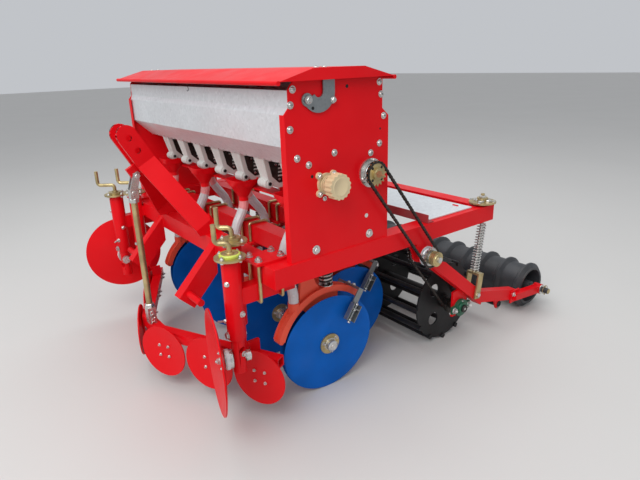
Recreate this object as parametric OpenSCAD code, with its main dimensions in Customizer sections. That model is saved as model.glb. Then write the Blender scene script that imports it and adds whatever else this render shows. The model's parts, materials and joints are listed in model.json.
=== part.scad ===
// Seed drill for a small tractor: seven double disc openers under a hopper,
// a levelling bar in front, a cage roller and a ring roller behind.
// +X is the chain side, -Y faces the tractor, +Z is up, z = 0 is the ground.

/* [Frame] */
// Distance from the outer row to the outer face of the side rail
row_margin = 141; // [130:1:170]
// Length of the side rails
rail_len = 986; // [960:2:1060]
// Side of the square frame tube
tube = 60; // [56:1:64]
// Height of the frame's top face
frame_top = 548; // [540:1:570]
// Distance from the origin forward to the rails' front ends
front_reach = 616.6; // [600:0.1:660]

/* [Rows] */
// Number of rows
rows = 7; // [3:2:7]
// Distance between two rows
row_pitch = 150; // [145:1:160]
// Radius of an opener disc
disc_r = 175; // [170:1:178]
// Thickness of an opener disc
disc_t = 3; // [3:1:4]
// Half of the angle between the two discs of an opener
disc_splay = 6; // [5:1:7]

/* [Hopper] */
// Thickness of the red end plates
end_plate_t = 5; // [4:1:6]
// Thickness of the galvanised walls
wall_t = 3; // [2:1:4]
// Height of the lid's lower edge
lid_z = 1033; // [1020:1:1060]
// Height of the lid's flat ridge above that edge
lid_rise = 30; // [26:1:40]

/* [Rollers] */
// Radius of the cage roller over its bars
cage_r = 165; // [160:1:170]
// Number of bars on the cage roller
cage_bars = 12; // [10:1:14]
// Radius of the ring roller over its rings
ring_r = 100; // [96:1:104]
// Distance between two rings
ring_pitch = 100; // [100:1:102]

/* [Hitch] */
// Radius of the lower hitch pins
pin_r = 11; // [11:0.5:14]
// Free length of a lower hitch pin
pin_len = 85; // [80:1:100]
// Radius of the top link holes
top_hole_r = 9.75; // [9.75:0.25:12.75]

/* [Hidden] */
$fn = 48;

red = "#d4060f";
opener_orange = "#e2462c";
disc_blue = "#0a55a8";
zinc = "#b8bcc0";
yellow_zinc = "#b9a46a";
black = "#1d1e20";

y0 = -front_reach;
rail_out = (rows - 1) / 2 * row_pitch + row_margin;
frame_w = 2 * rail_out;
rail_in = rail_out - tube;
frame_bot = frame_top - tube;

// Where each cross beam's front face is, behind the rails' front ends
front_beam_y = y0;
opener_beam_y = [y0 + 170, y0 + 380];
rear_beam_y = y0 + rail_len - tube;

// End plates and hopper
plate_in = rail_out - 10;
plate_out = plate_in + end_plate_t;
plate_front_y = y0 + 60;
flange_t = 3;
flange_w = 18;
hopper_front_y = plate_front_y + 7;
plate_top_front_y = y0 + 75;
plate_back_y = y0 + 427;
hopper_back_y = plate_back_y - 4;
plate_top_back_y = y0 + 402;
front_shoulder = [951, 968];
back_shoulder = [923, 945];
front_top = lid_z - 20;
back_top = lid_z - 5;
hopper_fold_z = 867;
hopper_floor_z = 800;
hopper_floor_y = [y0 + 140, y0 + 385];

// Drive line: the metering shaft, the jackshaft and the cage roller's axle
meter_y = y0 + 354;
meter_z = 763;
jack_y = y0 + 612;
jack_z = 436;
cage_y = y0 + 832;
upper_chain_x = plate_out + 28;
lower_chain_x = rail_in + 9;
teeth = 17;
chain_pitch = 12.7;
sprocket_r = chain_pitch / 2 / sin(180 / teeth);
chain_inner = 5.2;
link_t = 1.8;
link_h = 9;
shaft_r = 10;
run_gap = 0.05;
seat_gap = 0.3;

// Openers: the odd rows hang on the first opener beam, the even rows on the second
opener_back = 70;
disc_z = disc_r * sqrt(1 - pow(sin(disc_splay) * sin(45), 2));
disc_out = 24;
pivot_z = frame_bot - 44;
web_t = 12;
arch_in = disc_r + 8;
arch_out = arch_in + 22;
arch_w = 36;
tube_r = 17;
seat_ahead = 120;
seat_top = 2 * disc_r + 6;
arch_from = 48;
arch_to = 160;
pin_bolt_r = 9;
u_bolt_r = 5;
spring_back = 82;
function row_x(row) = (row - (rows + 1) / 2) * row_pitch;
function row_bank(row) = row % 2 == 1 ? 0 : 1;
function beam_mid(row) = opener_beam_y[row_bank(row)] + tube / 2;
function disc_y(row) = beam_mid(row) + opener_back;
function funnel_y(row) = y0 + (row_bank(row) == 0 ? 165 : 265);
funnel_r = 46;
funnel_top = 691;
funnel_bottom = 632;

// Front tools
outer_col = [rail_out - 96, y0 - 80];
inner_col = [rail_out - 176, y0 - 28];
outer_top = 578;
flange_h = 15;
inner_top = 592;
clamp_t = 8;
bar_s = 35;
bar_top = 215;
bar_inner = [60, y0 - 155];
bar_outer = [rail_out - 91, y0 + 58];
bar_turn = atan2(bar_outer[1] - bar_inner[1], bar_outer[0] - bar_inner[0]);
front_disc_r = 156;
front_disc_depth = 18;
bracket_t = 4;
paddle_pitch = 196;
// Side, direction in plan, distance from the column and height of the front discs
near_disc = [1, 253, 71, 270];
far_disc = [-1, 166, 85, 300];
paddle_r = 94;
paddle_z = 145;
paddle_at = [for (i = [0 : 2]) 33 + i * paddle_pitch];

// Rear arms
arm_x = rail_out - 11;
arm_w = 40;
arm_h = 45;
arm_bend = [y0 + 925, 185];
arm_joint = [y0 + 1180, 118];
ring_y = y0 + 1345;
thin_x = arm_x + 25;
thin_w = 30;
axle_end = thin_x + 50;
strut_foot = [y0 + 900, 205];
strut_top = [y0 + 955, 570];
strut_x = arm_x - 5;

// Hitch
mast_lean = 28.7;
mast_foot_y = y0 + 17;
mast_w = 65;
mast_t = 12;
lower_pin = [y0 - 105, 388];
shackle_y = y0 - 144;
shackle_z = 745;
arm_side_x = 240;

// Shapes used by several parts

module both_sides() {
    children();
    mirror([1, 0, 0]) children();
}

// A round bar along X between x1 and x2 at (y, z)
module x_bar(x1, x2, y, z, r) {
    translate([x1, y, z]) rotate([0, 90, 0]) cylinder(r = r, h = x2 - x1);
}

// A side profile in Y and Z, from x1 to x2
module x_plate(x1, x2) {
    translate([x1, 0, 0]) rotate([90, 0, 90]) linear_extrude(x2 - x1) children();
}

// A bar of section w by h whose middle line joins two [y, z] points, from x1 to x2
module side_bar(x1, x2, a, b, h) {
    len = norm(b - a);
    turn = atan2(b[1] - a[1], b[0] - a[0]);
    translate([x1, a[0], a[1]]) rotate([turn, 0, 0]) translate([0, 0, -h / 2]) cube([x2 - x1, len, h]);
}

// Points of a circle arc in a plane
function arc(c, r, a1, a2, n) = [for (i = [0 : n]) let (a = a1 + (a2 - a1) * i / n)
    [c[0] + r * cos(a), c[1] + r * sin(a)]];

// A tube or a rod swept along a path of points, as one closed solid
function ring_dir(path, i) = let (a = path[max(i - 1, 0)], b = path[min(i + 1, len(path) - 1)])
    (b - a) / norm(b - a);
module sweep(path, r, sides) {
    points = [for (i = [0 : len(path) - 1]) let (
            d = ring_dir(path, i),
            u0 = cross(d, [1, 0, 0.01]),
            u = u0 / norm(u0),
            v = cross(d, u))
        for (k = [0 : sides - 1]) path[i] + r * (cos(360 * k / sides) * u + sin(360 * k / sides) * v)];
    last = (len(path) - 1) * sides;
    faces = concat(
        [[for (k = [0 : sides - 1]) k]],
        [[for (k = [sides - 1 : -1 : 0]) last + k]],
        [for (i = [0 : len(path) - 2]) for (k = [0 : sides - 1]) let (n = (k + 1) % sides)
            [i * sides + k, (i + 1) * sides + k, (i + 1) * sides + n]],
        [for (i = [0 : len(path) - 2]) for (k = [0 : sides - 1]) let (n = (k + 1) % sides)
            [i * sides + k, (i + 1) * sides + n, i * sides + n]]);
    polyhedron(points, faces);
}

// A coil spring standing on z = 0
module coil(r, wire, length, turns, steps) {
    path = [for (i = [0 : turns * steps]) [r * cos(360 * i / steps), r * sin(360 * i / steps),
        wire + (length - 2 * wire) * i / (turns * steps)]];
    sweep(path, wire, 6);
}

module hex_nut(size, h) {
    cylinder(d = size, h = h, $fn = 6);
}

// Frame

module side_rails() {
    color(red) both_sides() {
        translate([rail_in, y0, frame_bot]) cube([tube, rail_len, tube]);
        pivot_hanger();
    }
}

// The cross beams between the rails, and the angle in front of the walkway
module cross_beams() {
    angle_y = y0 + 618;
    angle_w = 30;
    angle_t = 4;
    color(red) {
        for (y = concat([front_beam_y], opener_beam_y, [rear_beam_y]))
            translate([-rail_in, y, frame_bot]) cube([2 * rail_in, tube, tube]);
        translate([-rail_out + 4, angle_y, frame_top]) cube([frame_w - 8, angle_w, angle_t]);
        translate([-rail_out + 4, angle_y, frame_top]) cube([frame_w - 8, angle_t, angle_w]);
    }
}

// Two plates under a rail that hold the rear arm's pivot and the jackshaft
module pivot_hanger() {
    for (x = [rail_in + 21, rail_out - 8]) difference() {
        x_plate(x, x + 8) union() {
            translate([jack_y, jack_z]) circle(r = 32);
            translate([jack_y - 50, frame_bot - 20]) square([82, 20]);
            polygon([[jack_y - 50, frame_bot - 12], [jack_y + 32, frame_bot - 12],
                [jack_y + 32, jack_z], [jack_y - 32, jack_z]]);
        }
        x_bar(x - 1, x + 9, jack_y, jack_z, shaft_r + run_gap);
    }
}

// Hitch

// A mast leg in its own leaning frame: x across, y its width, z up the lean
module mast_leg() {
    foot_x = 170;
    head_x = 32;
    bend_low = 40;
    bend_high = 275;
    top = 375;
    h = mast_t / 2;
    difference() {
        union() {
            rotate([90, 0, 0]) translate([0, 0, -mast_w / 2]) linear_extrude(mast_w) polygon([
                [foot_x - h, -30], [foot_x + h, -30], [foot_x + h, bend_low], [head_x + h, bend_high],
                [head_x + h, top], [head_x - h, top], [head_x - h, bend_high], [foot_x - h, bend_low]]);
            translate([head_x - h, 0, top]) rotate([0, 90, 0]) cylinder(r = mast_w / 2, h = mast_t);
        }
        for (z = [319, 366]) translate([head_x - h - 1, 0, z]) rotate([0, 90, 0])
            cylinder(r = top_hole_r, h = mast_t + 2);
    }
}

module hitch_mast() {
    color(red) difference() {
        union() {
            translate([0, mast_foot_y, frame_top]) rotate([mast_lean, 0, 0]) {
                both_sides() mast_leg();
                translate([-27, -25, 278]) cube([54, 50, 10]);
                translate([-8, -62, 236]) cube([16, 60, 46]);
            }
            both_sides() x_plate(164, 176) polygon([[y0 + 20, frame_top], [y0 + tube, frame_top],
                [y0 + 20, frame_top + 70]]);
        }
        translate([-400, y0 - 300, frame_top - 100]) cube([800, 600, 100]);
        translate([-9, shackle_y, shackle_z]) rotate([0, 90, 0]) cylinder(r = 8 + seat_gap, h = 18);
    }
}

module hitch_arms() {
    color(red) both_sides() {
        x_plate(arm_side_x - 40, arm_side_x) polygon([[y0, 530], [y0 - 140, 383], [y0 - 94, 337], [y0, 436]]);
        x_bar(arm_side_x, arm_side_x + pin_len, lower_pin[0], lower_pin[1], pin_r);
    }
}

// Hopper

// The plate's top stays under the lid and inside the circle that the opening lid sweeps
function plate_outline() = [[plate_front_y, frame_top], [plate_front_y, front_shoulder[0]],
    [plate_top_front_y, front_shoulder[1]], [plate_top_front_y, front_top], [y0 + 90, lid_z - 2],
    [y0 + 110, lid_z + 8], [y0 + 300, lid_z + 11], [plate_top_back_y, back_top],
    [plate_top_back_y, back_shoulder[1]], [plate_back_y, back_shoulder[0]], [plate_back_y, frame_top]];

module end_plates() {
    color(red) both_sides() difference() {
        union() {
            x_plate(plate_in, plate_out) polygon(plate_outline());
            translate([plate_in - flange_w, plate_front_y, frame_top])
                cube([flange_w, flange_t, front_shoulder[0] - frame_top]);
        }
        x_bar(plate_in - 1, plate_out + 1, meter_y, meter_z, shaft_r + run_gap);
    }
    color(zinc) both_sides() {
        x_bar(plate_out, plate_out + 8, lid_pivot[0], lid_pivot[1], 6);
        x_bar(plate_out + 7, plate_out + 13, lid_pivot[0], lid_pivot[1], 11);
    }
}

// Outline of the hopper's sheet, or of its inside when t is the sheet's thickness
function hopper_outline(t) = [[plate_top_front_y + t, front_top - 2 + t], [plate_top_front_y + t, front_shoulder[1]],
    [hopper_front_y + t, front_shoulder[0]], [hopper_front_y + t, hopper_fold_z + t / 3],
    [hopper_floor_y[0] + t / 3, hopper_floor_z + t], [hopper_floor_y[1] - t / 3, hopper_floor_z + t],
    [hopper_back_y - t, hopper_fold_z + t / 3], [hopper_back_y - t, back_shoulder[0] - 2],
    [plate_top_back_y - t, back_shoulder[1]], [plate_top_back_y - t, back_top - 2 + t]];

module hopper_walls() {
    color(zinc) difference() {
        x_plate(-plate_in, plate_in) polygon(hopper_outline(0));
        x_plate(-plate_in + wall_t, plate_in - wall_t) polygon(hopper_outline(wall_t));
        for (row = [1 : rows]) translate([row_x(row) - 14, meter_y - 20, hopper_floor_z - 1])
            cube([28, 40, wall_t + 2]);
    }
}

// One metering unit: a tapered housing under the hopper's floor, its sloping front ending in a round lip
module metering_unit() {
    top_w = 60;
    foot_w = 42;
    foot_z = 716;
    lip = [y0 + 168, foot_z];
    difference() {
        union() {
            intersection() {
                x_plate(-top_w / 2, top_w / 2) polygon([[hopper_floor_y[0] + 5, hopper_floor_z], lip,
                    [y0 + 200, 698], [y0 + 330, 712], [y0 + 392, 735], [hopper_floor_y[1] - 2, hopper_floor_z]]);
                translate([0, y0 + 500, 0]) rotate([90, 0, 0]) linear_extrude(500) polygon([
                    [-foot_w / 2, foot_z - 40], [foot_w / 2, foot_z - 40], [foot_w / 2, foot_z],
                    [top_w / 2, hopper_floor_z], [-top_w / 2, hopper_floor_z], [-foot_w / 2, foot_z]]);
            }
            x_bar(-foot_w / 2 - 6, foot_w / 2, lip[0], lip[1], 15);
            x_bar(foot_w / 2, foot_w / 2 + 4, lip[0], lip[1], 10);
        }
        x_bar(-top_w, top_w, meter_y, meter_z, 26);
        translate([-14, meter_y - 18, meter_z]) cube([28, 36, 60]);
    }
}

module metering_units() {
    color("#d8d8d2") for (row = [1 : rows]) translate([row_x(row), 0, 0]) metering_unit();
}

module metering_shaft() {
    color(zinc) {
        x_bar(-plate_out - 12, upper_chain_x + 12, meter_y, meter_z, shaft_r);
        for (row = [1 : rows]) x_bar(row_x(row) - 18, row_x(row) + 18, meter_y, meter_z, 20);
        sprocket(upper_chain_x, meter_y, meter_z);
    }
}

module metering_bearing() {
    color(zinc) difference() {
        union() {
            x_bar(plate_out, plate_out + 6, meter_y, meter_z, 43);
            x_bar(plate_out + 6, plate_out + 15, meter_y, meter_z, 34);
        }
        x_bar(plate_out - 1, plate_out + 16, meter_y, meter_z, shaft_r + run_gap);
    }
}

// The beige seed rate knob with its scalloped rim
module metering_knob() {
    knob_y = y0 + 187;
    knob_z = 757;
    flange = 7;
    barrel = 31;
    grip = 28;
    color("#d9c9a0") {
        x_plate(plate_out, plate_out + flange) translate([knob_y, knob_z]) {
            circle(r = 30);
            for (a = [45 : 90 : 315]) rotate(a) translate([35, 0]) circle(r = 10);
        }
        x_bar(plate_out + flange, plate_out + flange + barrel, knob_y, knob_z, 22);
        for (x = [6 : 7 : 27]) x_bar(plate_out + flange + x, plate_out + flange + x + 3, knob_y, knob_z, 26);
        translate([plate_out + flange + barrel, knob_y, knob_z]) rotate([0, 90, 0]) linear_extrude(grip) difference() {
            circle(r = 36);
            for (a = [0 : 22.5 : 337.5]) rotate(a) translate([38, 0]) circle(r = 5);
        }
    }
}

module seed_funnel() {
    rotate_extrude() polygon([[15, funnel_bottom], [tube_r, funnel_bottom], [tube_r, funnel_bottom + 14],
        [funnel_r, funnel_top], [funnel_r, funnel_top + 3], [funnel_r - 3, funnel_top + 3],
        [15, funnel_bottom + 16]]);
}

module seed_funnels() {
    color(red) {
        for (row = [1 : rows]) translate([row_x(row), funnel_y(row), 0]) seed_funnel();
        difference() {
            translate([-plate_in, y0 + 190, 672]) cube([2 * plate_in, 50, 6]);
            for (row = [1 : rows]) translate([row_x(row), funnel_y(row), 0]) cylinder(r = funnel_r - 14, h = 800);
        }
    }
}

// Route of a seed tube by bank, as [y behind the rails' front ends, z], drawn for these end heights
route_top = 632;
route_foot = 356;
tube_route = [
    [[165, 632], [165, 622], [160, 602], [148, 580], [134, 557], [125, 534], [121, 510], [121, 485],
        [126, 458], [136, 430], [146, 404], [150, 380], [150, 356]],
    [[265, 632], [265, 622], [272, 602], [286, 580], [304, 558], [320, 535], [331, 511], [336, 485],
        [339, 458], [346, 430], [356, 404], [360, 380], [360, 356]]];

module seed_tubes() {
    color("#e4e4e6", 0.7) for (row = [1 : rows])
        sweep([for (p = tube_route[row_bank(row)]) [row_x(row), y0 + p[0], seat_top
            + (p[1] - route_foot) * (funnel_bottom - seat_top) / (route_top - route_foot)]], tube_r, 12);
}

// Openers

// Red head under a beam: a clamp plate and two lugs that hold the opener's pivot
module opener_head() {
    lug_t = 8;
    difference() {
        union() {
            translate([-45, -48, frame_bot - 10]) cube([90, 96, 10]);
            translate([-28, 40, frame_bot - 10]) cube([56, spring_back - 40 + 25, 10]);
            for (x = [-web_t / 2 - lug_t - seat_gap, web_t / 2 + seat_gap]) x_plate(x, x + lug_t)
                polygon([[-24, frame_bot - 10], [24, frame_bot - 10], [16, pivot_z - 16], [-16, pivot_z - 16]]);
        }
        for (x = [-28, 28]) for (y = [-1, 1]) translate([x, y * (tube / 2 + u_bolt_r + 0.5), frame_bot - 11])
            cylinder(r = u_bolt_r + seat_gap, h = 12, $fn = 16);
        x_bar(-20, 20, 0, pivot_z, pin_bolt_r + seat_gap);
    }
}

module opener_hangers() {
    color(red) for (row = [1 : rows]) translate([row_x(row), beam_mid(row), 0]) opener_head();
}

// The arched channel over the rims, its web down to the hub and the two splayed stub axles
module opener_body() {
    back = opener_back;
    top = [-back, pivot_z - disc_z];
    difference() {
        union() {
            x_plate(-web_t / 2, web_t / 2) polygon(concat([[top[0] - 16, top[1] + 12], [top[0] + 14, top[1] + 14],
                [-34, arch_out + 20], [-16, arch_out - 4], [60, arch_out - 14]], [[34, -6], [14, -26], [-14, -26],
                [-34, 0], [-75, arch_in - 50], [top[0] - 36, arch_out - 50]]));
            rotate([0, 0, 90]) rotate([90, 0, 0]) rotate([0, 0, arch_from])
                rotate_extrude(angle = arch_to - arch_from, $fn = 96)
                polygon([[arch_in, -arch_w / 2], [arch_out, -arch_w / 2], [arch_out, -arch_w / 2 + 6],
                    [arch_out - 6, -arch_w / 2 + 8], [arch_out - 6, arch_w / 2 - 8],
                    [arch_out, arch_w / 2 - 6], [arch_out, arch_w / 2], [arch_in, arch_w / 2]]);
            x_plate(-arch_w / 2 + 2, arch_w / 2 - 2) rotate(arch_to) polygon([[arch_in + 2, -4], [arch_out - 2, -4],
                [arch_out - 2, 4], [arch_out - 7, 9], [arch_in + 7, 9], [arch_in + 2, 4]]);
            translate([0, -seat_ahead, arch_out - 60]) cylinder(r = tube_r + 2, h = seat_top - disc_z - arch_out + 60);
            translate([0, 12, arch_out - 8]) cylinder(r = 23, h = 10);
        }
        x_bar(-20, 20, top[0], top[1], pin_bolt_r + seat_gap);
    }
}

// Turns what is drawn along +X so that it lies along a disc's splayed axle
module splayed(side) {
    rotate(a = side * disc_splay, v = [0, sin(45), -cos(45)]) children();
}

module opener_bodies() {
    color(opener_orange) for (row = [1 : rows]) translate([row_x(row), disc_y(row), disc_z]) {
        difference() {
            opener_body();
            for (side = [-1, 1]) translate([side * disc_out, 0, 0]) splayed(side)
                rotate([0, 90, 0]) translate([0, 0, -disc_t / 2 - 5]) cylinder(r = disc_r + 6, h = disc_t + 10);
        }
        for (side = [-1, 1]) translate([side * disc_out, 0, 0]) splayed(side)
            translate([side > 0 ? -disc_out : -20, 0, 0]) x_bar(0, disc_out + 20, 0, 0, shaft_r);
    }
}

// A disc on its hub, drawn along +X with its middle plane at x = 0
module opener_disc() {
    color(disc_blue) rotate([0, 90, 0]) rotate_extrude($fn = 96) polygon([[shaft_r + run_gap, -disc_t / 2],
        [disc_r - 8, -disc_t / 2], [disc_r, -0.5], [disc_r, 0.5], [disc_r - 8, disc_t / 2],
        [shaft_r + run_gap, disc_t / 2]]);
    color(zinc) rotate([0, 90, 0]) rotate_extrude() polygon([[shaft_r + run_gap, -disc_t / 2 - 7],
        [20, -disc_t / 2 - 7], [20, -disc_t / 2], [37, -disc_t / 2], [37, disc_t / 2 + 5],
        [20, disc_t / 2 + 5], [19, 24], [14, 28], [0, 28], [0, 22], [shaft_r + run_gap, 22]]);
}

module row_disc(row, side) {
    translate([row_x(row) + side * disc_out, disc_y(row), disc_z]) splayed(side)
        mirror([side > 0 ? 0 : 1, 0, 0]) opener_disc();
}

module opener_springs() {
    h = frame_bot - 10 - disc_z - arch_out - 2;
    for (row = [1 : rows]) translate([row_x(row), beam_mid(row) + spring_back, disc_z + arch_out + 2]) {
        color(zinc) cylinder(r = 7, h = h);
        color(black) coil(19, 3.5, h, 5, 10);
    }
}

// A bent round bar over a beam, legs down in front and behind, with two nuts
module beam_u_bolt(leg_gap, top_z, leg_end, r) {
    bend = r + 2;
    for (s = [-1, 1]) translate([0, s * leg_gap / 2, leg_end]) cylinder(r = r, h = top_z - bend - leg_end, $fn = 16);
    for (s = [-1, 1]) translate([0, s * (leg_gap / 2 - bend), top_z - bend]) rotate([90, 0, 90])
        rotate([0, 0, s > 0 ? 0 : 90]) rotate_extrude(angle = 90, $fn = 16) translate([bend, 0]) circle(r = r);
    translate([0, leg_gap / 2 - bend, top_z]) rotate([90, 0, 0])
        cylinder(r = r, h = leg_gap - 2 * bend, $fn = 16);
}

module opener_bolts() {
    r = u_bolt_r;
    head = web_t / 2 + 8 + 2 * seat_gap;
    color(yellow_zinc) for (row = [1 : rows]) for (x = [-28, 28]) translate([row_x(row) + x, beam_mid(row), 0]) {
        beam_u_bolt(tube + 2 * r + 1, frame_top + r + 0.2, frame_bot - 22, r);
        for (s = [-1, 1]) translate([0, s * (tube / 2 + r + 0.5), frame_bot - 19]) hex_nut(19, 9);
    }
    color(zinc) for (row = [1 : rows]) translate([row_x(row), beam_mid(row), 0]) {
        x_bar(-head - 7, head + 7, 0, pivot_z, pin_bolt_r);
        both_sides() x_bar(head, head + 7, 0, pivot_z, 14);
    }
}

// Galvanised scraper on the outer face of each disc, held at the rear end of the arch
module opener_scrapers() {
    color(zinc) for (row = [1 : rows]) translate([row_x(row), disc_y(row), disc_z])
        for (side = [-1, 1]) mirror([side > 0 ? 0 : 1, 0, 0]) rotate([55, 0, 0]) {
            translate([0, arch_out, -12]) cube([54, 8, 24]);
            translate([50, 104, -12]) cube([4, arch_out - 104, 24]);
            translate([54, 98, -20]) cube([3, 60, 40]);
            for (z = [-20, 17]) translate([57, 98, z]) cube([15, 60, 3]);
            translate([57, 140, -17]) cube([15, 4, 34]);
            translate([64, 92, 0]) rotate([-90, 0, 0]) cylinder(r = 4, h = 72, $fn = 16);
        }
}

// Front tools

module column(at, top_z, r_outer, r_inner, split_z, foot_z) {
    translate([at[0], at[1], split_z]) cylinder(r = r_outer, h = top_z - split_z);
    translate([at[0], at[1], foot_z]) cylinder(r = r_inner, h = split_z - foot_z);
}

module outer_columns() {
    color(red) both_sides() {
        difference() {
            column(outer_col, outer_top, 27, 20, 335, 225);
            for (d = [near_disc, far_disc]) translate([outer_col[0], outer_col[1], d[3]])
                rotate([0, 0, d[0] > 0 ? d[1] : 180 - d[1]]) x_bar(-40, 40, 0, 0, shaft_r + seat_gap);
        }
        translate([outer_col[0] - 20, outer_col[1] + 20, frame_bot - 50]) cube([40, 175, 50]);
        difference() {
            translate([outer_col[0] - 45, y0 - 22, frame_top]) cube([90, 104, clamp_t]);
            clamp_legs(clamp_t + 2, frame_top - 1, seat_gap);
        }
    }
}

// The four legs of an outer column's clamp, length h from height z, wider by gap
module clamp_legs(h, z, gap) {
    for (y = [y0 - u_bolt_r - 2, y0 + tube + u_bolt_r + 2]) for (s = [-1, 1])
        translate([outer_col[0] + s * (20 + u_bolt_r + seat_gap), y, z]) cylinder(r = u_bolt_r + gap, h = h, $fn = 16);
}

module inner_columns() {
    foot_z = bar_top + 28;
    lug_t = 10;
    lug_top = foot_z + 14;
    bar_y = bar_inner[1] + (inner_col[0] - bar_inner[0]) * tan(bar_turn);
    color(red) both_sides() {
        column(inner_col, inner_top, 25, 17, 330, foot_z);
        translate([inner_col[0] - 20, inner_col[1], frame_bot + 8]) cube([40, y0 - inner_col[1], 40]);
        x_plate(inner_col[0] - lug_t / 2, inner_col[0] + lug_t / 2) polygon([[inner_col[1] - 12, foot_z],
            [inner_col[1] - 12, lug_top], [bar_y + bar_s / 2, lug_top], [bar_y + bar_s / 2, bar_top],
            [bar_y - bar_s / 2, bar_top], [bar_y - bar_s / 2, foot_z]]);
    }
}

module column_flanges() {
    color(yellow_zinc) both_sides() for (c = [[outer_col, outer_top], [inner_col, inner_top]])
        translate([c[0][0], c[0][1], c[1]]) {
            cylinder(r = 44, h = 6);
            cylinder(r = 25, h = flange_h);
        }
}

// A crank of round bar: up, across and up again; turn is the arm's direction in plan
module crank(turn, across, rise) {
    r = 7;
    bend = 12;
    neck = 16;
    cylinder(r = r, h = neck);
    rotate([0, 0, turn]) {
        translate([bend, 0, neck]) rotate([90, 0, 0]) rotate([0, 0, 90]) rotate_extrude(angle = 90)
            translate([bend, 0]) circle(r = r);
        translate([bend, 0, neck + bend]) rotate([0, 90, 0]) cylinder(r = r, h = across - 2 * bend);
        translate([across - bend, 0, neck + 2 * bend]) rotate([90, 0, 0]) rotate([0, 0, 270])
            rotate_extrude(angle = 90) translate([bend, 0]) circle(r = r);
        translate([across, 0, neck + 2 * bend]) cylinder(r = r, h = rise);
    }
}

// Crank handles: side, direction in plan, reach across and straight end
outer_cranks = [[1, 233, 38, 42], [-1, 233, 66, 46]];
inner_cranks = [[1, 228, 40, 48], [-1, 228, 60, 46]];

module crank_handles() {
    color(yellow_zinc) {
        for (c = outer_cranks) translate([c[0] * outer_col[0], outer_col[1], outer_top + flange_h])
            crank(c[1], c[2], c[3]);
        for (c = inner_cranks) translate([c[0] * inner_col[0], inner_col[1], inner_top + flange_h])
            crank(c[1], c[2], c[3]);
    }
}

module column_u_bolts() {
    r = u_bolt_r;
    leg_x = 20 + r + seat_gap;
    low = frame_bot - 50 - r - 0.2;
    color(yellow_zinc) both_sides() {
        clamp_legs(frame_top + clamp_t + 14 - low, low, 0);
        for (y = [y0 - r - 2, y0 + tube + r + 2]) {
            x_bar(outer_col[0] - leg_x, outer_col[0] + leg_x, y, low, r);
            for (s = [-1, 1]) translate([outer_col[0] + s * leg_x, y, frame_top + clamp_t]) hex_nut(19, 9);
        }
    }
}

// A dished disc facing +X, its rim's plane at x = 0, its back bulging towards -X
module dish(r, depth, t, bore) {
    bulge = (r * r + depth * depth) / (2 * depth);
    edge = asin(r / bulge);
    inner = asin(bore / bulge);
    rotate([0, 90, 0]) rotate_extrude($fn = 72) polygon(concat(
        [for (i = [0 : 8]) let (a = inner + (edge - inner) * i / 8) [bulge * sin(a), bulge - depth - bulge * cos(a)]],
        [for (i = [8 : -1 : 0]) let (a = inner + (edge - inner) * i / 8)
            [bulge * sin(a), bulge - depth - bulge * cos(a) - t]]));
}

// Places what is drawn along +X at a front disc, facing away from its column
module at_front_disc(d) {
    translate([d[0] * outer_col[0], outer_col[1], d[3]]) rotate([0, 0, d[1]])
        translate([d[2], 0, 0]) children();
}

module front_disc(d) {
    at_front_disc(d) color(red) {
        dish(front_disc_r, front_disc_depth, 4, 14);
        rotate([0, 90, 0]) translate([0, 0, -front_disc_depth - 7]) difference() {
            cylinder(r = 30, h = 7);
            translate([0, 0, -1]) cylinder(r = shaft_r + run_gap, h = 9);
        }
    }
}

module disc_hubs() {
    for (d = [near_disc, far_disc]) color(zinc) at_front_disc(d) {
        x_bar(20 + seat_gap - d[2], -front_disc_depth - 10, 0, 0, 28);
        x_bar(-d[2] - 36, 6 - front_disc_depth, 0, 0, shaft_r);
        x_bar(-d[2] - 34, -d[2] - 20 - seat_gap, 0, 0, 16);
    }
}

module leveller_bar() {
    len = norm(bar_outer - bar_inner);
    color(red) {
        both_sides() translate([bar_inner[0], bar_inner[1], bar_top - bar_s]) rotate([0, 0, bar_turn])
            translate([0, -bar_s / 2, 0]) difference() {
                cube([len, bar_s, bar_s]);
                translate([len - 60, 4, 4]) cube([61, bar_s - 8, bar_s - 8]);
            }
        translate([-bar_inner[0] - 6, bar_inner[1] - 18, bar_top - bar_s]) cube([2 * bar_inner[0] + 12, 36, bar_s]);
        both_sides() translate([bar_inner[0], bar_inner[1], 0]) rotate([0, 0, bar_turn])
            for (u = paddle_at) translate([u - 30, -bar_s / 2 - bracket_t, paddle_z - 30])
                cube([60, bracket_t, bar_top - paddle_z + 30]);
    }
}

module leveller_paddles() {
    color(red) both_sides() translate([bar_inner[0], bar_inner[1], 0]) rotate([0, 0, bar_turn])
        for (u = paddle_at) translate([u, -bar_s / 2 - bracket_t, paddle_z]) rotate([0, 0, -90])
            translate([12, 0, 0]) {
                dish(paddle_r, 8, 4, 1);
                translate([-12, -24, -24]) cube([1.4, 48, 48]);
            }
}

module lift_rod() {
    y = y0 - 161;
    color(yellow_zinc) translate([0, y, 275]) cylinder(r = 10.5, h = 395);
    color(zinc) {
        translate([-16, y - 14, bar_top]) cube([32, 28, 60]);
        translate([-14, y - 11, 670]) cube([28, 26, 30]);
        for (x = [-14, 8 + seat_gap]) x_plate(x, x + 6 - seat_gap) polygon([[y - 11, 699], [y + 15, 699],
            [shackle_y + 12, shackle_z + 8], [shackle_y + 4, shackle_z + 14], [shackle_y - 10, shackle_z + 8]]);
        x_bar(-18, 18, shackle_y, shackle_z, 8);
    }
}

// Walkway

module walkway() {
    color(zinc) difference() {
        translate([-rail_out + 25, y0 + 648 + seat_gap, frame_top]) cube([2 * (rail_out - 25), 235, 5]);
        both_sides() for (y = [y0 + 672, y0 + 850]) translate([rail_in - 30, y, frame_top - 1]) cube([26, 8, 8]);
    }
}

// Rear arms and rollers

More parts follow.
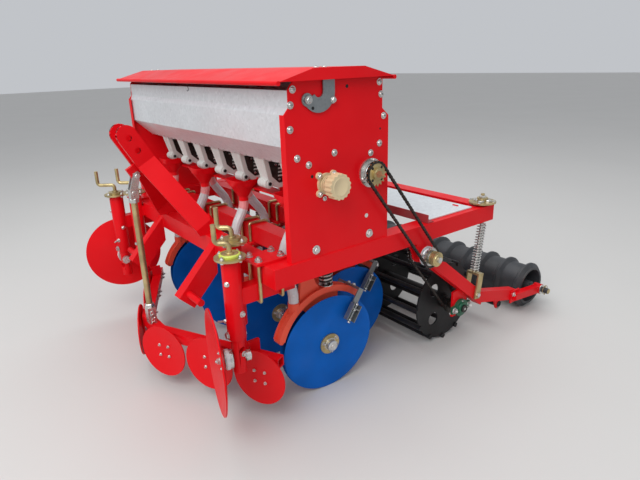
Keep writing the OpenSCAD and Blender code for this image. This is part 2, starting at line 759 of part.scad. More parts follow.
module rear_arm() {
    pivot = [jack_y, jack_z];
    run = (arm_bend - pivot) / norm(arm_bend - pivot);
    difference() {
        union() {
            intersection() {
                side_bar(arm_x - arm_w / 2, arm_x + arm_w / 2, pivot + 45 * run, arm_bend + 30 * run, arm_h);
                x_plate(arm_x - arm_w, arm_x + arm_w) polygon([pivot + [-100, -200], arm_bend + [-80, -200],
                    arm_bend + [13, -29], arm_bend + [-13, 29], arm_bend + [60, 400], pivot + [-100, 400]]);
            }
            intersection() {
                side_bar(arm_x - arm_w / 2, arm_x + arm_w / 2, arm_bend - [40, -10], arm_joint, arm_h);
                x_plate(arm_x - arm_w, arm_x + arm_w) polygon([arm_bend + [13, -29], arm_bend + [-13, 29],
                    arm_bend + [60, 400], arm_bend + [400, 400], arm_bend + [400, -200], arm_bend + [-80, -200]]);
            }
            side_bar(arm_x - 10, arm_x + 1, pivot, pivot + 60 * run, 36);
            x_bar(arm_x - 12, arm_x + 2, jack_y, jack_z, 20);
            x_plate(arm_x - 12, arm_x - 4) polygon([[cage_y - 42, jack_z - 200], [cage_y - 42, cage_r - 30],
                [cage_y + 42, cage_r - 30], [cage_y + 42, 250]]);
            x_plate(arm_x + arm_w / 2, arm_x + arm_w / 2 + 5) translate(arm_joint - [14, 0])
                square([60, 52], center = true);
            side_bar(thin_x - thin_w / 2, thin_x + thin_w / 2, arm_joint - [26, -1], [ring_y, ring_r], 30);
            x_bar(thin_x - thin_w / 2 - 2, thin_x + thin_w / 2 + 2, ring_y, ring_r, 22);
            x_plate(arm_x - 4, arm_x + 4) polygon([arm_joint + [-130, 10], arm_joint + [-95, 10],
                arm_joint + [-80, -20], arm_joint + [-112, -34]]);
        }
        x_bar(arm_x - 40, arm_x + 60, jack_y, jack_z, shaft_r + run_gap);
        x_bar(arm_x - 40, arm_x + 60, cage_y, cage_r, 16);
        x_bar(arm_x - 40, thin_x + 60, ring_y, ring_r, 12 + run_gap);
        x_bar(arm_x - 40, arm_x + 60, strut_foot[0], strut_foot[1], 7 + seat_gap);
    }
}

module rear_arms() {
    color(red) both_sides() rear_arm();
}

// The far arm's pivot; the near arm turns on the jackshaft
module arm_pivot_bolt() {
    color(zinc) {
        x_bar(-rail_out - 12, -rail_in - 14, jack_y, jack_z, shaft_r);
        x_bar(-rail_out - 12, -rail_out - 1, jack_y, jack_z, 18);
    }
}

module arm_cross_tube() {
    color(black) x_bar(-arm_x + 4, arm_x - 4, arm_joint[0] - 96, arm_joint[1] - 19, 13);
}

module roller_bearings() {
    color("#1f5a3c") both_sides() difference() {
        union() {
            x_bar(arm_x - 4, arm_x + 8, cage_y, cage_r, 34);
            translate([arm_x - 4, cage_y - 52, cage_r - 15]) cube([10, 104, 30]);
        }
        x_bar(arm_x - 5, arm_x + 9, cage_y, cage_r, 15 + run_gap);
    }
}

cage_end_x = rail_out - 93;
cage_bar_r = 10;
cage_tube_r = 28;
cage_plate_r = cage_r - cage_bar_r;

module cage_roller() {
    color(black) {
        x_bar(-cage_end_x - 12, cage_end_x + 12, cage_y, cage_r, cage_tube_r);
        x_bar(-arm_x - 22, arm_x + 22, cage_y, cage_r, 15);
    }
    color(zinc) sprocket(lower_chain_x, cage_y, cage_r);
}

module cage_plates() {
    hole_at = 86;
    color(black) difference() {
        for (x = [-1, -1 / 3, 1 / 3, 1]) x_bar(x * cage_end_x - 3, x * cage_end_x + 3, cage_y, cage_r, cage_plate_r);
        for (a = [45 : 90 : 315])
            x_bar(-cage_end_x - 9, cage_end_x + 9, cage_y + hole_at * cos(a), cage_r + hole_at * sin(a), 26);
        x_bar(-cage_end_x - 9, cage_end_x + 9, cage_y, cage_r, cage_tube_r);
        cage_rod_set(9);
    }
}

// The round bars in notches of the plates, longer than the cage by the overhang at each end
module cage_rod_set(overhang) {
    for (i = [0 : cage_bars - 1]) let (a = 270 + 360 * i / cage_bars)
        x_bar(-cage_end_x - overhang, cage_end_x + overhang, cage_y + cage_plate_r * cos(a),
            cage_r + cage_plate_r * sin(a), cage_bar_r);
}

module cage_rods() {
    color(black) cage_rod_set(8);
}

function ring_profile(r_in, r_barrel, r_tip, half) = concat([[r_in, -half], [r_barrel, -half]],
    [for (x = [-5.5 * ring_pitch : ring_pitch : 5.5 * ring_pitch]) each [[r_barrel, x - 16],
        [r_tip, x - 4], [r_tip, x + 4], [r_barrel, x + 16]]],
    [[r_barrel, half], [r_in, half]]);

module ring_roller() {
    half = 5.5 * ring_pitch + 20;
    color(black) {
        translate([0, ring_y, ring_r]) rotate([0, 90, 0]) rotate_extrude($fn = 72)
            polygon(ring_profile(74, 84, ring_r, half));
        for (x = [-half + 110, half - 120]) x_bar(x, x + 10, ring_y, ring_r, 75);
        x_bar(-half, half, ring_y, ring_r, 20);
        x_bar(-axle_end, axle_end, ring_y, ring_r, 12);
    }
}

// Struts between the frame and the rear arms

strut_lean = atan2(strut_top[0] - strut_foot[0], strut_top[1] - strut_foot[1]);

module at_strut() {
    both_sides() translate([strut_x, strut_foot[0], strut_foot[1]]) rotate([-strut_lean, 0, 0]) children();
}

module strut_rods() {
    clevis_w = arm_w + 16;
    color(yellow_zinc) at_strut() {
        translate([-clevis_w / 2 + 5, -15, 78]) cube([clevis_w, 30, 8]);
        for (x = [-clevis_w / 2 + 5, clevis_w / 2 - 1]) translate([x, -15, -16]) cube([6, 30, 94]);
    }
    color(yellow_zinc) both_sides() x_bar(strut_x - 30, strut_x + 40, strut_foot[0], strut_foot[1], 7);
}

module strut_springs() {
    color(zinc) at_strut() {
        translate([0, 0, 86]) cylinder(r = 7, h = 198.5);
        translate([0, 0, 86]) coil(15, 2.5, 195, 18, 10);
    }
}

module strut_handwheels() {
    color(yellow_zinc) both_sides() translate([strut_x - 14, strut_top[0] - 2, frame_top]) {
        cylinder(r = 20, h = 8);
        translate([0, 0, 8]) cylinder(r = 50, h = 5);
        translate([0, 0, 13]) cylinder(r = 20, h = 14);
        cylinder(r = 7, h = 42);
    }
}

// Drive

function tooth_ring() = [for (i = [0 : teeth - 1]) each [for (t = [[-0.42, -4.4], [-0.2, 0], [-0.07, 3.4],
    [0.07, 3.4], [0.2, 0], [0.42, -4.4]]) let (a = 360 * (i + t[0]) / teeth, r = sprocket_r + t[1])
        [r * cos(a), r * sin(a)]]];

module sprocket(x, y, z) {
    x_plate(x - 2, x + 2) translate([y, z]) polygon(tooth_ring());
    x_bar(x - 2, x + 9, y, z, 18);
}

module jackshaft() {
    color(zinc) {
        x_bar(lower_chain_x - 8, axle_end - 2, jack_y, jack_z, shaft_r);
        sprocket(lower_chain_x, jack_y, jack_z);
        sprocket(upper_chain_x, jack_y, jack_z);
    }
}

module drive_clutch() {
    color(yellow_zinc) difference() {
        x_bar(upper_chain_x + 9, axle_end - 12, jack_y, jack_z, 24);
        x_bar(upper_chain_x + 8, axle_end - 11, jack_y, jack_z, shaft_r + run_gap);
    }
    color(black) translate([axle_end - 22, jack_y, jack_z]) rotate([-20, 0, 0]) translate([0, 20, 0])
        rotate([-90, 0, 0]) cylinder(r = 6, h = 62);
}

// A closed chain loop in the plane x: two bands of link plates around two sprockets,
// joined by the rollers of the straight runs
module chain_loop(x, a, b) {
    run = norm(b - a);
    turn = atan2(b[1] - a[1], b[0] - a[0]);
    bends = ceil(teeth / 2);
    count = floor((run - 4 * chain_pitch) / chain_pitch);
    for (s = [-1, 1]) translate([x + s * (chain_inner + link_t) / 2, 0, 0])
        x_plate(-link_t / 2, link_t / 2) difference() {
            polygon(loop_line(a, b, sprocket_r + link_h / 2, turn, bends));
            polygon(loop_line(a, b, sprocket_r - link_h / 2, turn, bends));
        }
    for (i = [0 : count]) for (s = [-1, 1])
        let (u = run / 2 + (i - count / 2) * chain_pitch, v = s * sprocket_r)
            x_bar(x - chain_inner / 2 - link_t / 2, x + chain_inner / 2 + link_t / 2,
                a[0] + u * cos(turn) - v * sin(turn), a[1] + u * sin(turn) + v * cos(turn), 3.6);
}

function loop_line(a, b, r, turn, bends) = concat(arc(a, r, turn + 90, turn + 270, bends),
    arc(b, r, turn - 90, turn + 90, bends));

module upper_chain() {
    color(black) chain_loop(upper_chain_x, [meter_y, meter_z], [jack_y, jack_z]);
}

module lower_chain() {
    color(black) chain_loop(lower_chain_x, [jack_y, jack_z], [cage_y, cage_r]);
}

// Lid

lid_half = plate_out + 22;
lid_t = 3;
lid_pivot = [y0 + 131, 985];
lid_bend = [y0 + 168, 1004];
lid_front_y = y0 + 34;
lid_back_y = y0 + 430;
ridge_y = [y0 + 144, y0 + 315];

function lid_outline(drop) = [[lid_front_y, lid_z - drop], [ridge_y[0], lid_z + lid_rise - drop],
    [ridge_y[1], lid_z + lid_rise - drop], [lid_back_y, lid_z - drop]];

module lid() {
    color(red) {
        difference() {
            x_plate(-lid_half, lid_half) polygon(lid_outline(0));
            x_plate(-lid_half + lid_t, lid_half - lid_t) polygon(concat(lid_outline(lid_t),
                [[lid_back_y, lid_z - 10], [lid_front_y, lid_z - 10]]));
        }
        for (y = [lid_front_y, lid_back_y]) x_bar(-lid_half, lid_half, y, lid_z - 3, 6);
    }
    color("#55585c") both_sides() x_plate(plate_out + 2, plate_out + 6) difference() {
        union() {
            polygon(concat(arc(lid_bend, 54, 206, 360, 18), arc(lid_bend, 15, 360, 206, 12)));
            translate(lid_pivot) circle(r = 17);
            translate([lid_bend[0] + 15, lid_bend[1]]) square([39, lid_z + lid_rise - 1 - lid_bend[1]]);
        }
        translate(lid_pivot) circle(r = 6 + run_gap);
    }
}

side_rails();
cross_beams();
hitch_mast();
hitch_arms();
end_plates();
hopper_walls();
metering_units();
metering_knob();
metering_bearing();
seed_funnels();
seed_tubes();
opener_hangers();
opener_bodies();
opener_springs();
opener_bolts();
opener_scrapers();
outer_columns();
inner_columns();
column_flanges();
crank_handles();
column_u_bolts();
disc_hubs();
front_disc(near_disc);  // front_disc_near
front_disc(far_disc);  // front_disc_far
leveller_bar();
leveller_paddles();
lift_rod();
walkway();
rear_arms();
arm_pivot_bolt();
arm_cross_tube();
strut_rods();
strut_springs();
strut_handwheels();
roller_bearings();
cage_roller();
cage_plates();
cage_rods();
ring_roller();
jackshaft();
drive_clutch();
metering_shaft();
upper_chain();
lower_chain();
lid();
row_disc(7, 1);  // disc_1_near
row_disc(7, -1);  // disc_1_far
row_disc(6, 1);  // disc_2_near
row_disc(6, -1);  // disc_2_far
row_disc(5, 1);  // disc_3_near
row_disc(5, -1);  // disc_3_far
row_disc(4, 1);  // disc_4_near
row_disc(4, -1);  // disc_4_far
row_disc(3, 1);  // disc_5_near
row_disc(3, -1);  // disc_5_far
row_disc(2, 1);  // disc_6_near
row_disc(2, -1);  // disc_6_far
row_disc(1, 1);  // disc_7_near
row_disc(1, -1);  // disc_7_far
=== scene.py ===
import json
import math
import bmesh
import bpy
from mathutils import Matrix, Vector


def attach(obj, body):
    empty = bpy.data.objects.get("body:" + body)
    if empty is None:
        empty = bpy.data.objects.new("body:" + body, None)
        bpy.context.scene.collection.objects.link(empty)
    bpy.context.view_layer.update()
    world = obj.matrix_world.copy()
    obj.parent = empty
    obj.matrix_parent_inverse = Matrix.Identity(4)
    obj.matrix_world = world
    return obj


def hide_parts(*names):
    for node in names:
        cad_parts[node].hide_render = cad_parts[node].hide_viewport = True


# The looks of the seed drill: finishes for its CAD nodes, and pieces for fasteners, chain links,
# spring coils and trim. Shapes are given in millimetres and the scene is in metres. Depths are
# measured to the rear from the front ends of the side rails, and points are (depth, height)
# unless a comment says otherwise.

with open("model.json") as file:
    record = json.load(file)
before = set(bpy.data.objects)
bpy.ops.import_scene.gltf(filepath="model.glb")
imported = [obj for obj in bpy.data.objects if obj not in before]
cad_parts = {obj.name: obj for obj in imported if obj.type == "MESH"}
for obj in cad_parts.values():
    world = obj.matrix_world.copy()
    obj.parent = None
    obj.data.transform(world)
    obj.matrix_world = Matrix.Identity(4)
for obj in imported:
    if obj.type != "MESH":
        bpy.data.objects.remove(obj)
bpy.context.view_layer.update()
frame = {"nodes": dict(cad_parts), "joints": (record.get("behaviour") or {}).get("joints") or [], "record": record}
NODES = frame["nodes"]
SLOTS = {s["node"]: s["material_slot"] for s in frame["record"]["subparts"]}
JOINTS = {j["child"]: j for j in frame["joints"]}
DISCS = [n for n in NODES if n.startswith("disc_") and n != "disc_hubs"]
FRONT_DISCS = ("front_disc_near", "front_disc_far")
SIDES = (1, -1)

# Y of the side rails' front ends, in metres
Y0 = -0.6166

# Sizes that the source of the solids gives too
PLATE_OUT = 586
RAIL_OUT = 591
RAIL_IN = 531
FRAME_TOP = 548
FRAME_BOT = 488
TUBE = FRAME_TOP - FRAME_BOT
BEAM_FRONTS = (0, 170, 380, 926)
ROWS = [(row - 4) * 150 for row in range(1, 8)]
BEAM_MID = [200 if row % 2 == 1 else 410 for row in range(1, 8)]
FUNNEL_BACK = [165 if row % 2 == 1 else 265 for row in range(1, 8)]
DISC_Z = 174.52
DISC_BEHIND_BEAM = 70
SPRING_BEHIND_BEAM = 82
METER = (354, 763)
KNOB = (187, 757)
LID_PIVOT = (131, 985)
LID_TOP = 1063
JACK = (612, 436)
CAGE = (832, 165)
UPPER_CHAIN_X = 614
LOWER_CHAIN_X = 540
RING = (1345, 100)
HOPPER_FLOOR = (140, 800)
HOPPER_FOLD = (67, 867)

# The front columns as (x, depth, top)
OUTER_COL = (495, -80, 578)
INNER_COL = (415, -28, 592)

# The levelling bar's start as (x, depth), and its turn to the rear
BAR_START = (60, -155)
BAR_TURN = math.atan2(213, 440)

# How deep the foot of a fastener is sunk into the face that carries it
SINK = 0.4

# Edges flatter than this are shaded smooth, in radians
SMOOTH_BELOW = 0.62

X, Y, Z = (Vector(v) for v in ((1, 0, 0), (0, 1, 0), (0, 0, 1)))


def joint_of(node):
    """The centre and the axis that a node turns about."""
    return Vector(JOINTS[node]["pos_m"]), Vector(JOINTS[node]["axis"])


def at(x, back, z):
    """A point in metres from millimetres: x, depth, height."""
    return Vector((x / 1000, Y0 + back / 1000, z / 1000))


def angles(count, first):
    """Equal steps round a circle, in radians from a first angle in degrees."""
    return [math.radians(first + 360 / count * k) for k in range(count)]


def around(center, r, a):
    """The (depth, height) of the angle a on a circle of a side face."""
    return center[0] + r * math.cos(a), center[1] + r * math.sin(a)


# Materials

DUST_COLOR = (0.36, 0.33, 0.29)
ROUGH_VARY = 0.08
BUMP_DISTANCE = 0.0006


def material(name, color, rough=0.4, metal=0.0, vary=0.08, patch=6.0, grain=0.0, grain_size=300.0,
             spots=0.0, coat=0.0, dust=0.0, transmission=0.0, glow=0.0, shine=0.5):
    """A finish whose colour and gloss change a little in patches, with a fine grain.

    vary is the change of colour, patch and grain_size are the scales of the noise, spots is the
    scale of galvanised flakes, glow is light scattered inside and shine is the specular level.
    """
    m = bpy.data.materials.new(name)
    m.use_nodes = True
    nt = m.node_tree
    shader = nt.nodes["Principled BSDF"]
    coords = nt.nodes.new("ShaderNodeTexCoord")

    def noise(scale, detail=3.0):
        n = nt.nodes.new("ShaderNodeTexNoise")
        n.inputs["Scale"].default_value = scale
        n.inputs["Detail"].default_value = detail
        nt.links.new(coords.outputs["Object"], n.inputs["Vector"])
        return n.outputs["Fac"]

    def ramp(fac, low, high, a, b):
        r = nt.nodes.new("ShaderNodeMapRange")
        r.inputs["From Min"].default_value = low
        r.inputs["From Max"].default_value = high
        r.inputs["To Min"].default_value = a
        r.inputs["To Max"].default_value = b
        nt.links.new(fac, r.inputs["Value"])
        return r.outputs["Result"]

    def mix(fac, a, b):
        node = nt.nodes.new("ShaderNodeMix")
        node.data_type = "RGBA"
        nt.links.new(fac, node.inputs["Factor"])
        for value, key in ((a, "A"), (b, "B")):
            s = [i for i in node.inputs if i.name == key and i.type == "RGBA"][0]
            if isinstance(value, tuple):
                s.default_value = (*value, 1)
            else:
                nt.links.new(value, s)
        return [o for o in node.outputs if o.type == "RGBA"][0]

    dark = tuple(c * (1 - vary) for c in color)
    light = tuple(min(1.0, c * (1 + vary) + vary * 0.01) for c in color)
    col = mix(ramp(noise(patch), 0.35, 0.65, 0, 1), dark, light)
    if spots:
        cells = nt.nodes.new("ShaderNodeTexVoronoi")
        cells.inputs["Scale"].default_value = spots
        nt.links.new(coords.outputs["Object"], cells.inputs["Vector"])
        tone = nt.nodes.new("ShaderNodeSeparateColor")
        nt.links.new(cells.outputs["Color"], tone.inputs["Color"])
        flake = mix(tone.outputs["Green"], tuple(c * 0.80 for c in color),
                    tuple(min(1.0, c * 1.18) for c in color))
        col = mix(ramp(tone.outputs["Red"], 0.0, 1.0, 0.0, 0.5), col, flake)
    if dust:
        col = mix(ramp(noise(11.0, 6.0), 0.5, 0.75, 0, dust), col, DUST_COLOR)
    nt.links.new(col, shader.inputs["Base Color"])
    gloss = ramp(noise(patch * 4, 4.0), 0.3, 0.7, max(0.02, rough - ROUGH_VARY), rough + ROUGH_VARY)
    nt.links.new(gloss, shader.inputs["Roughness"])
    shader.inputs["Metallic"].default_value = metal
    shader.inputs["Specular IOR Level"].default_value = shine
    if coat:
        shader.inputs["Coat Weight"].default_value = coat
        shader.inputs["Coat Roughness"].default_value = 0.12
    if transmission:
        shader.inputs["Transmission Weight"].default_value = transmission
    if glow:
        shader.inputs["Subsurface Weight"].default_value = glow
        shader.inputs["Subsurface Radius"].default_value = (0.02, 0.02, 0.02)
    if grain:
        b = nt.nodes.new("ShaderNodeBump")
        b.inputs["Strength"].default_value = grain
        b.inputs["Distance"].default_value = BUMP_DISTANCE
        nt.links.new(noise(grain_size, 4.0), b.inputs["Height"])
        nt.links.new(b.outputs["Normal"], shader.inputs["Normal"])
    return m


# The finishes of the record's material slots, and more for parts of nodes and for small pieces
FINISHES = {
    "red_paint": dict(color=(0.74, 0.003, 0.008), rough=0.38, vary=0.06, patch=3.0, grain=0.15,
                      grain_size=420, coat=0.05, dust=0.01, shine=0.14),
    "orange_paint": dict(color=(0.80, 0.095, 0.050), vary=0.07, patch=8.0, grain=0.12, coat=0.06,
                         dust=0.03, shine=0.2),
    "blue_paint": dict(color=(0.001, 0.112, 0.48), rough=0.50, vary=0.10, patch=9.0, grain=0.12,
                       dust=0.02, shine=0.12),
    "galvanised": dict(color=(0.74, 0.77, 0.79), rough=0.42, metal=0.40, vary=0.03, patch=3.0,
                       spots=110.0, grain=0.08),
    "bright_zinc": dict(color=(0.62, 0.62, 0.60), rough=0.30, metal=0.9, vary=0.10, patch=30.0,
                        grain=0.1),
    "yellow_zinc": dict(color=(0.50, 0.40, 0.20), rough=0.36, metal=0.8, vary=0.22, patch=26.0,
                        grain=0.1),
    "dark_steel": dict(color=(0.045, 0.04, 0.036), rough=0.42, metal=0.7, vary=0.3, patch=60.0,
                       grain=0.2),
    "black_paint": dict(color=(0.010, 0.010, 0.011), rough=0.46, vary=0.3, patch=8.0, grain=0.2,
                        dust=0.02, shine=0.3),
    "dusty_red": dict(color=(0.36, 0.045, 0.05), rough=0.55, vary=0.15, patch=14.0, grain=0.2,
                      dust=0.25, shine=0.2),
    "green_paint": dict(color=(0.012, 0.11, 0.055), vary=0.15, patch=20.0, grain=0.2),
    "grey_plastic": dict(color=(0.66, 0.66, 0.63), rough=0.45, vary=0.05, patch=9.0, grain=0.1),
    "beige_plastic": dict(color=(0.66, 0.53, 0.32), rough=0.42, vary=0.06, patch=20.0, grain=0.1),
    "clear_hose": dict(color=(0.74, 0.75, 0.76), rough=0.22, vary=0.05, patch=12.0, grain=0.05,
                       transmission=0.2, glow=0.3),
    "rosy_hose": dict(color=(0.78, 0.30, 0.30), rough=0.24, vary=0.10, patch=40.0, grain=0.05,
                      glow=0.3),
    "arm_steel": dict(color=(0.26, 0.28, 0.29), rough=0.42, metal=0.75, vary=0.08, patch=8.0,
                      spots=160.0, grain=0.1),
    "lime_plastic": dict(color=(0.62, 0.72, 0.12), vary=0.08, patch=30.0, grain=0.1),
    "copper": dict(color=(0.55, 0.25, 0.13), rough=0.35, metal=0.8, vary=0.15, patch=40.0,
                   grain=0.1),
    "rubber": dict(color=(0.036, 0.039, 0.044), rough=0.52, vary=0.25, patch=10.0, grain=0.25,
                   dust=0.08),
}
MATS = {name: material(name, **look) for name, look in FINISHES.items()}


def finish(node, name):
    """Gives a CAD node one finish all over."""
    o = NODES[node]
    if not o.material_slots:
        o.data.materials.append(MATS[name])
    for s in o.material_slots:
        s.material = MATS[name]


def paint(node, name, test):
    """Gives a finish to those faces of a CAD node whose middle passes the test."""
    o = NODES[node]
    o.data.materials.append(MATS[name])
    index = len(o.data.materials) - 1
    for p in o.data.polygons:
        if test(p.center):
            p.material_index = index


def finish_nodes():
    """Each node's finish, and the hubs, pins and ends in another metal than the rest of it."""
    for n in NODES:
        finish(n, SLOTS[n])
    finish("ring_roller", "rubber")
    finish("opener_scrapers", "arm_steel")

    # The hub's flange and its cap stand out of the disc's faces
    flange_r, cap_r, disc_face = 0.0385, 0.0205, 0.0018
    for n in DISCS:
        center, axis = joint_of(n)

        def on_hub(p, r, center=center, axis=axis):
            d = p - center
            along = d.dot(axis)
            return (d - axis * along).length < r and abs(along) > disc_face
        paint(n, "yellow_zinc", lambda p: on_hub(p, flange_r))
        paint(n, "bright_zinc", lambda p: on_hub(p, cap_r))

    # Faces are told apart by their place in metres
    paint("lid", "arm_steel", lambda p: 0.5875 < abs(p.x) < 0.5925)
    paint("end_plates", "bright_zinc", lambda p: abs(p.x) > 0.5865)
    paint("metering_shaft", "yellow_zinc", lambda p: 0.6115 < p.x < 0.6235)
    paint("metering_shaft", "copper", lambda p: p.x > 0.6235)
    paint("lift_rod", "bright_zinc", lambda p: p.z < 0.2755 or p.z > 0.6695)
    paint("column_u_bolts", "bright_zinc", lambda p: p.z > 0.556)
    paint("opener_bolts", "bright_zinc", lambda p: p.z < 0.462)
    paint("seed_tubes", "rosy_hose", lambda p: p.z > 0.604)
    paint("cage_roller", "dark_steel", lambda p: 0.536 < p.x < 0.5502)

    # The angle in front of the walkway, and the lever behind the clutch's round body
    paint("cross_beams", "dusty_red", lambda p: p.z > 0.5485 and 0.617 < p.y - Y0 < 0.649)
    jack = at(0, *JACK)
    paint("drive_clutch", "black_paint", lambda p: math.hypot(p.y - jack.y, p.z - jack.z) > 0.0255)


def soften(node):
    """Rounds a node's sharp edges, so that they catch the light."""
    o = NODES[node]
    merge = o.modifiers.new("weld", "WELD")
    merge.merge_threshold = 0.00002
    bevel = o.modifiers.new("bevel", "BEVEL")
    bevel.width = 0.0012
    bevel.segments = 2
    bevel.limit_method = "ANGLE"
    bevel.angle_limit = math.radians(40)
    bevel.harden_normals = True


# Building pieces

def ring(r, sides=8):
    """The corners of a regular polygon, as a section or an outline."""
    return [(r * math.cos(2 * math.pi * k / sides), r * math.sin(2 * math.pi * k / sides))
            for k in range(sides)]


def hexagon(across):
    """A hexagon by its width across the flats."""
    return ring(across / math.sqrt(3), 6)


def facing(p, axis):
    """A frame at p whose Z lies along the axis."""
    z = Vector(axis).normalized()
    x = z.orthogonal().normalized()
    return Matrix.Translation(p) @ Matrix((x, z.cross(x), z)).transposed().to_4x4()


def on_side(x, back, z):
    """A frame on a side face: its Z points away from the middle, its Y is up."""
    s = 1 if x > 0 else -1
    m = Matrix(((0, 0, s), (s, 0, 0), (0, 1, 0))).to_4x4()
    return Matrix.Translation(at(x, back, z)) @ m


def on_near_side(x, back, z):
    """A frame like on_side's whose Z points to +X at any x, also left of the middle."""
    m = on_side(1, back, z)
    m.translation.x = x / 1000
    return m


def upright(x, back, z, turn=0.0):
    """A frame whose Z is up, turned about it."""
    return Matrix.Translation(at(x, back, z)) @ Matrix.Rotation(turn, 4, "Z")


def across_axis(axis):
    """Two directions square to a nearly level axis: sideways and up."""
    side = axis.cross(Z).normalized()
    return side, side.cross(axis)


def arc(center, u, v, r, a1, a2, steps):
    """Points of an arc from the direction u at angle 0 towards v, in metres and degrees."""
    turns = [math.radians(a1 + (a2 - a1) * i / steps) for i in range(steps + 1)]
    return [center + r * (math.cos(a) * u + math.sin(a) * v) for a in turns]


def strip(n, j):
    """Faces between the sections j and j + 1 of n points each."""
    return [[j * n + i, j * n + (i + 1) % n, (j + 1) * n + (i + 1) % n, (j + 1) * n + i]
            for i in range(n)]


class Piece:
    """A mesh of shapes given in millimetres, each in a frame of its own and with its own finish."""

    def __init__(self, name, slot_name):
        self.name = name
        self.slots = [slot_name]
        self.bm = bmesh.new()

    def shape(self, place, verts, faces, slot_name=None):
        slot_name = slot_name or self.slots[0]
        if slot_name not in self.slots:
            self.slots.append(slot_name)
        vs = [self.bm.verts.new(place @ (Vector(v) / 1000)) for v in verts]
        for f in faces:
            self.bm.faces.new([vs[i] for i in f]).material_index = self.slots.index(slot_name)

    def lathe(self, place, profile, sides=20, slot_name=None, loop=False):
        """A profile of (radius, height) turned about the frame's Z."""
        verts, rings = [], []
        for r, h in profile:
            count = sides if r > 1e-6 else 1
            rings.append(range(len(verts), len(verts) + count))
            verts += [(x, y, h) for x, y in (ring(r, sides) if count > 1 else [(0, 0)])]
        faces = []
        for a, b in zip(rings, list(rings[1:]) + ([rings[0]] if loop else [])):
            for k in range(sides):
                n = (k + 1) % sides
                corners = (a[k % len(a)], a[n % len(a)], b[n % len(b)], b[k % len(b)])
                faces.append(list(dict.fromkeys(corners)))
        self.shape(place, verts, faces, slot_name)

    def prism(self, place, outline, low, high, chamfer=0.0, slot_name=None):
        """An outline raised from low to high, its top edge chamfered."""
        n = len(outline)
        cx = sum(p[0] for p in outline) / n
        cy = sum(p[1] for p in outline) / n
        reach = sum(math.hypot(p[0] - cx, p[1] - cy) for p in outline) / n
        layers = [(1, low), (1, high - chamfer)]
        if chamfer:
            layers.append((1 - chamfer / reach, high))
        verts = [(cx + (x - cx) * k, cy + (y - cy) * k, h) for k, h in layers for x, y in outline]
        faces = [list(range(n))[::-1], [len(verts) - n + i for i in range(n)]]
        for j in range(len(layers) - 1):
            faces += strip(n, j)
        self.shape(place, verts, faces, slot_name)

    def block(self, place, size, chamfer=1.0, slot_name=None):
        """A box round the frame's origin with all its edges chamfered."""
        a, b, c = (v / 2 for v in size)
        k = chamfer
        outline = [(a - k, -b), (a, -b + k), (a, b - k), (a - k, b),
                   (-a + k, b), (-a, b - k), (-a, -b + k), (-a + k, -b)]
        inner = [(max(-a + k, min(a - k, x)), max(-b + k, min(b - k, y))) for x, y in outline]
        layers = ((inner, -c), (outline, -c + k), (outline, c - k), (inner, c))
        verts = [(x, y, h) for points, h in layers for x, y in points]
        faces = strip(8, 0) + strip(8, 1) + strip(8, 2)
        faces += [list(range(8))[::-1], [24 + i for i in range(8)]]
        self.shape(place, verts, faces, slot_name)

    def sweep(self, path, section, slot_name=None, loop=False, scales=None):
        """A section in millimetres drawn along a path of points in metres."""
        n, m = len(path), len(section)
        side = None
        verts = []
        for i, p in enumerate(path):
            a = path[i - 1] if loop or i else p
            b = path[(i + 1) % n] if loop or i < n - 1 else p
            t = (b - a).normalized()
            side = t.orthogonal() if side is None else side - t * side.dot(t)
            side.normalize()
            other = t.cross(side)
            k = scales[i] if scales else 1.0
            verts += [(p + side * (u * k / 1000) + other * (v * k / 1000)) * 1000
                      for u, v in section]
        faces = []
        for i in range(n if loop else n - 1):
            for k in range(m):
                j = (k + 1) % m
                nxt = (i + 1) % n
                faces.append([i * m + k, i * m + j, nxt * m + j, nxt * m + k])
        if not loop:
            faces += [list(range(m))[::-1], [(n - 1) * m + k for k in range(m)]]
        self.shape(Matrix(), verts, faces, slot_name)

    def done(self, body, *replaced):
        """Makes the object, which rides on a body and may stand for CAD nodes."""
        bm = self.bm
        bmesh.ops.recalc_face_normals(bm, faces=bm.faces)
        for f in bm.faces:
            f.smooth = True
        for e in bm.edges:
            e.smooth = len(e.link_faces) == 2 and e.calc_face_angle(0) < SMOOTH_BELOW
        me = bpy.data.meshes.new(self.name)
        bm.to_mesh(me)
        bm.free()
        for s in self.slots:
            me.materials.append(MATS[s])
        o = bpy.data.objects.new(self.name, me)
        bpy.context.scene.collection.objects.link(o)
        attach(o, body)
        if replaced:
            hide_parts(*replaced)


# Fasteners

WASHER_T = 1.7
WASHER_SEAT = 1.3


def washer(p, place, r):
    p.lathe(place, [(0, -SINK), (r - 0.4, -SINK), (r, 0), (r, WASHER_T - 0.5),
                    (r - 0.5, WASHER_T), (0, WASHER_T)])


def thread(r, low, length):
    """The profile of a thread's end: shallow grooves and a chamfered tip."""
    turns = max(2, int(length / 1.6))
    step = length / turns
    grooves = [q for i in range(turns)
               for q in ((r, low + step * i), (r * 0.87, low + step * (i + 0.5)))]
    return [(0, low)] + grooves + [(r * 0.8, low + length), (0, low + length)]


def bolt(p, place, across=13, head=6.0, wash=11.0, stud=0.0):
    """A hexagon head or nut, on its washer unless wash is 0, with the thread's end if a nut."""
    base = -SINK
    if wash:
        washer(p, place, wash)
        base = WASHER_SEAT
    p.prism(place, hexagon(across), base, base + head, min(1.2, head / 4))
    if stud:
        p.lathe(place, thread(across * 0.29, base + head - 0.6, stud), 12)


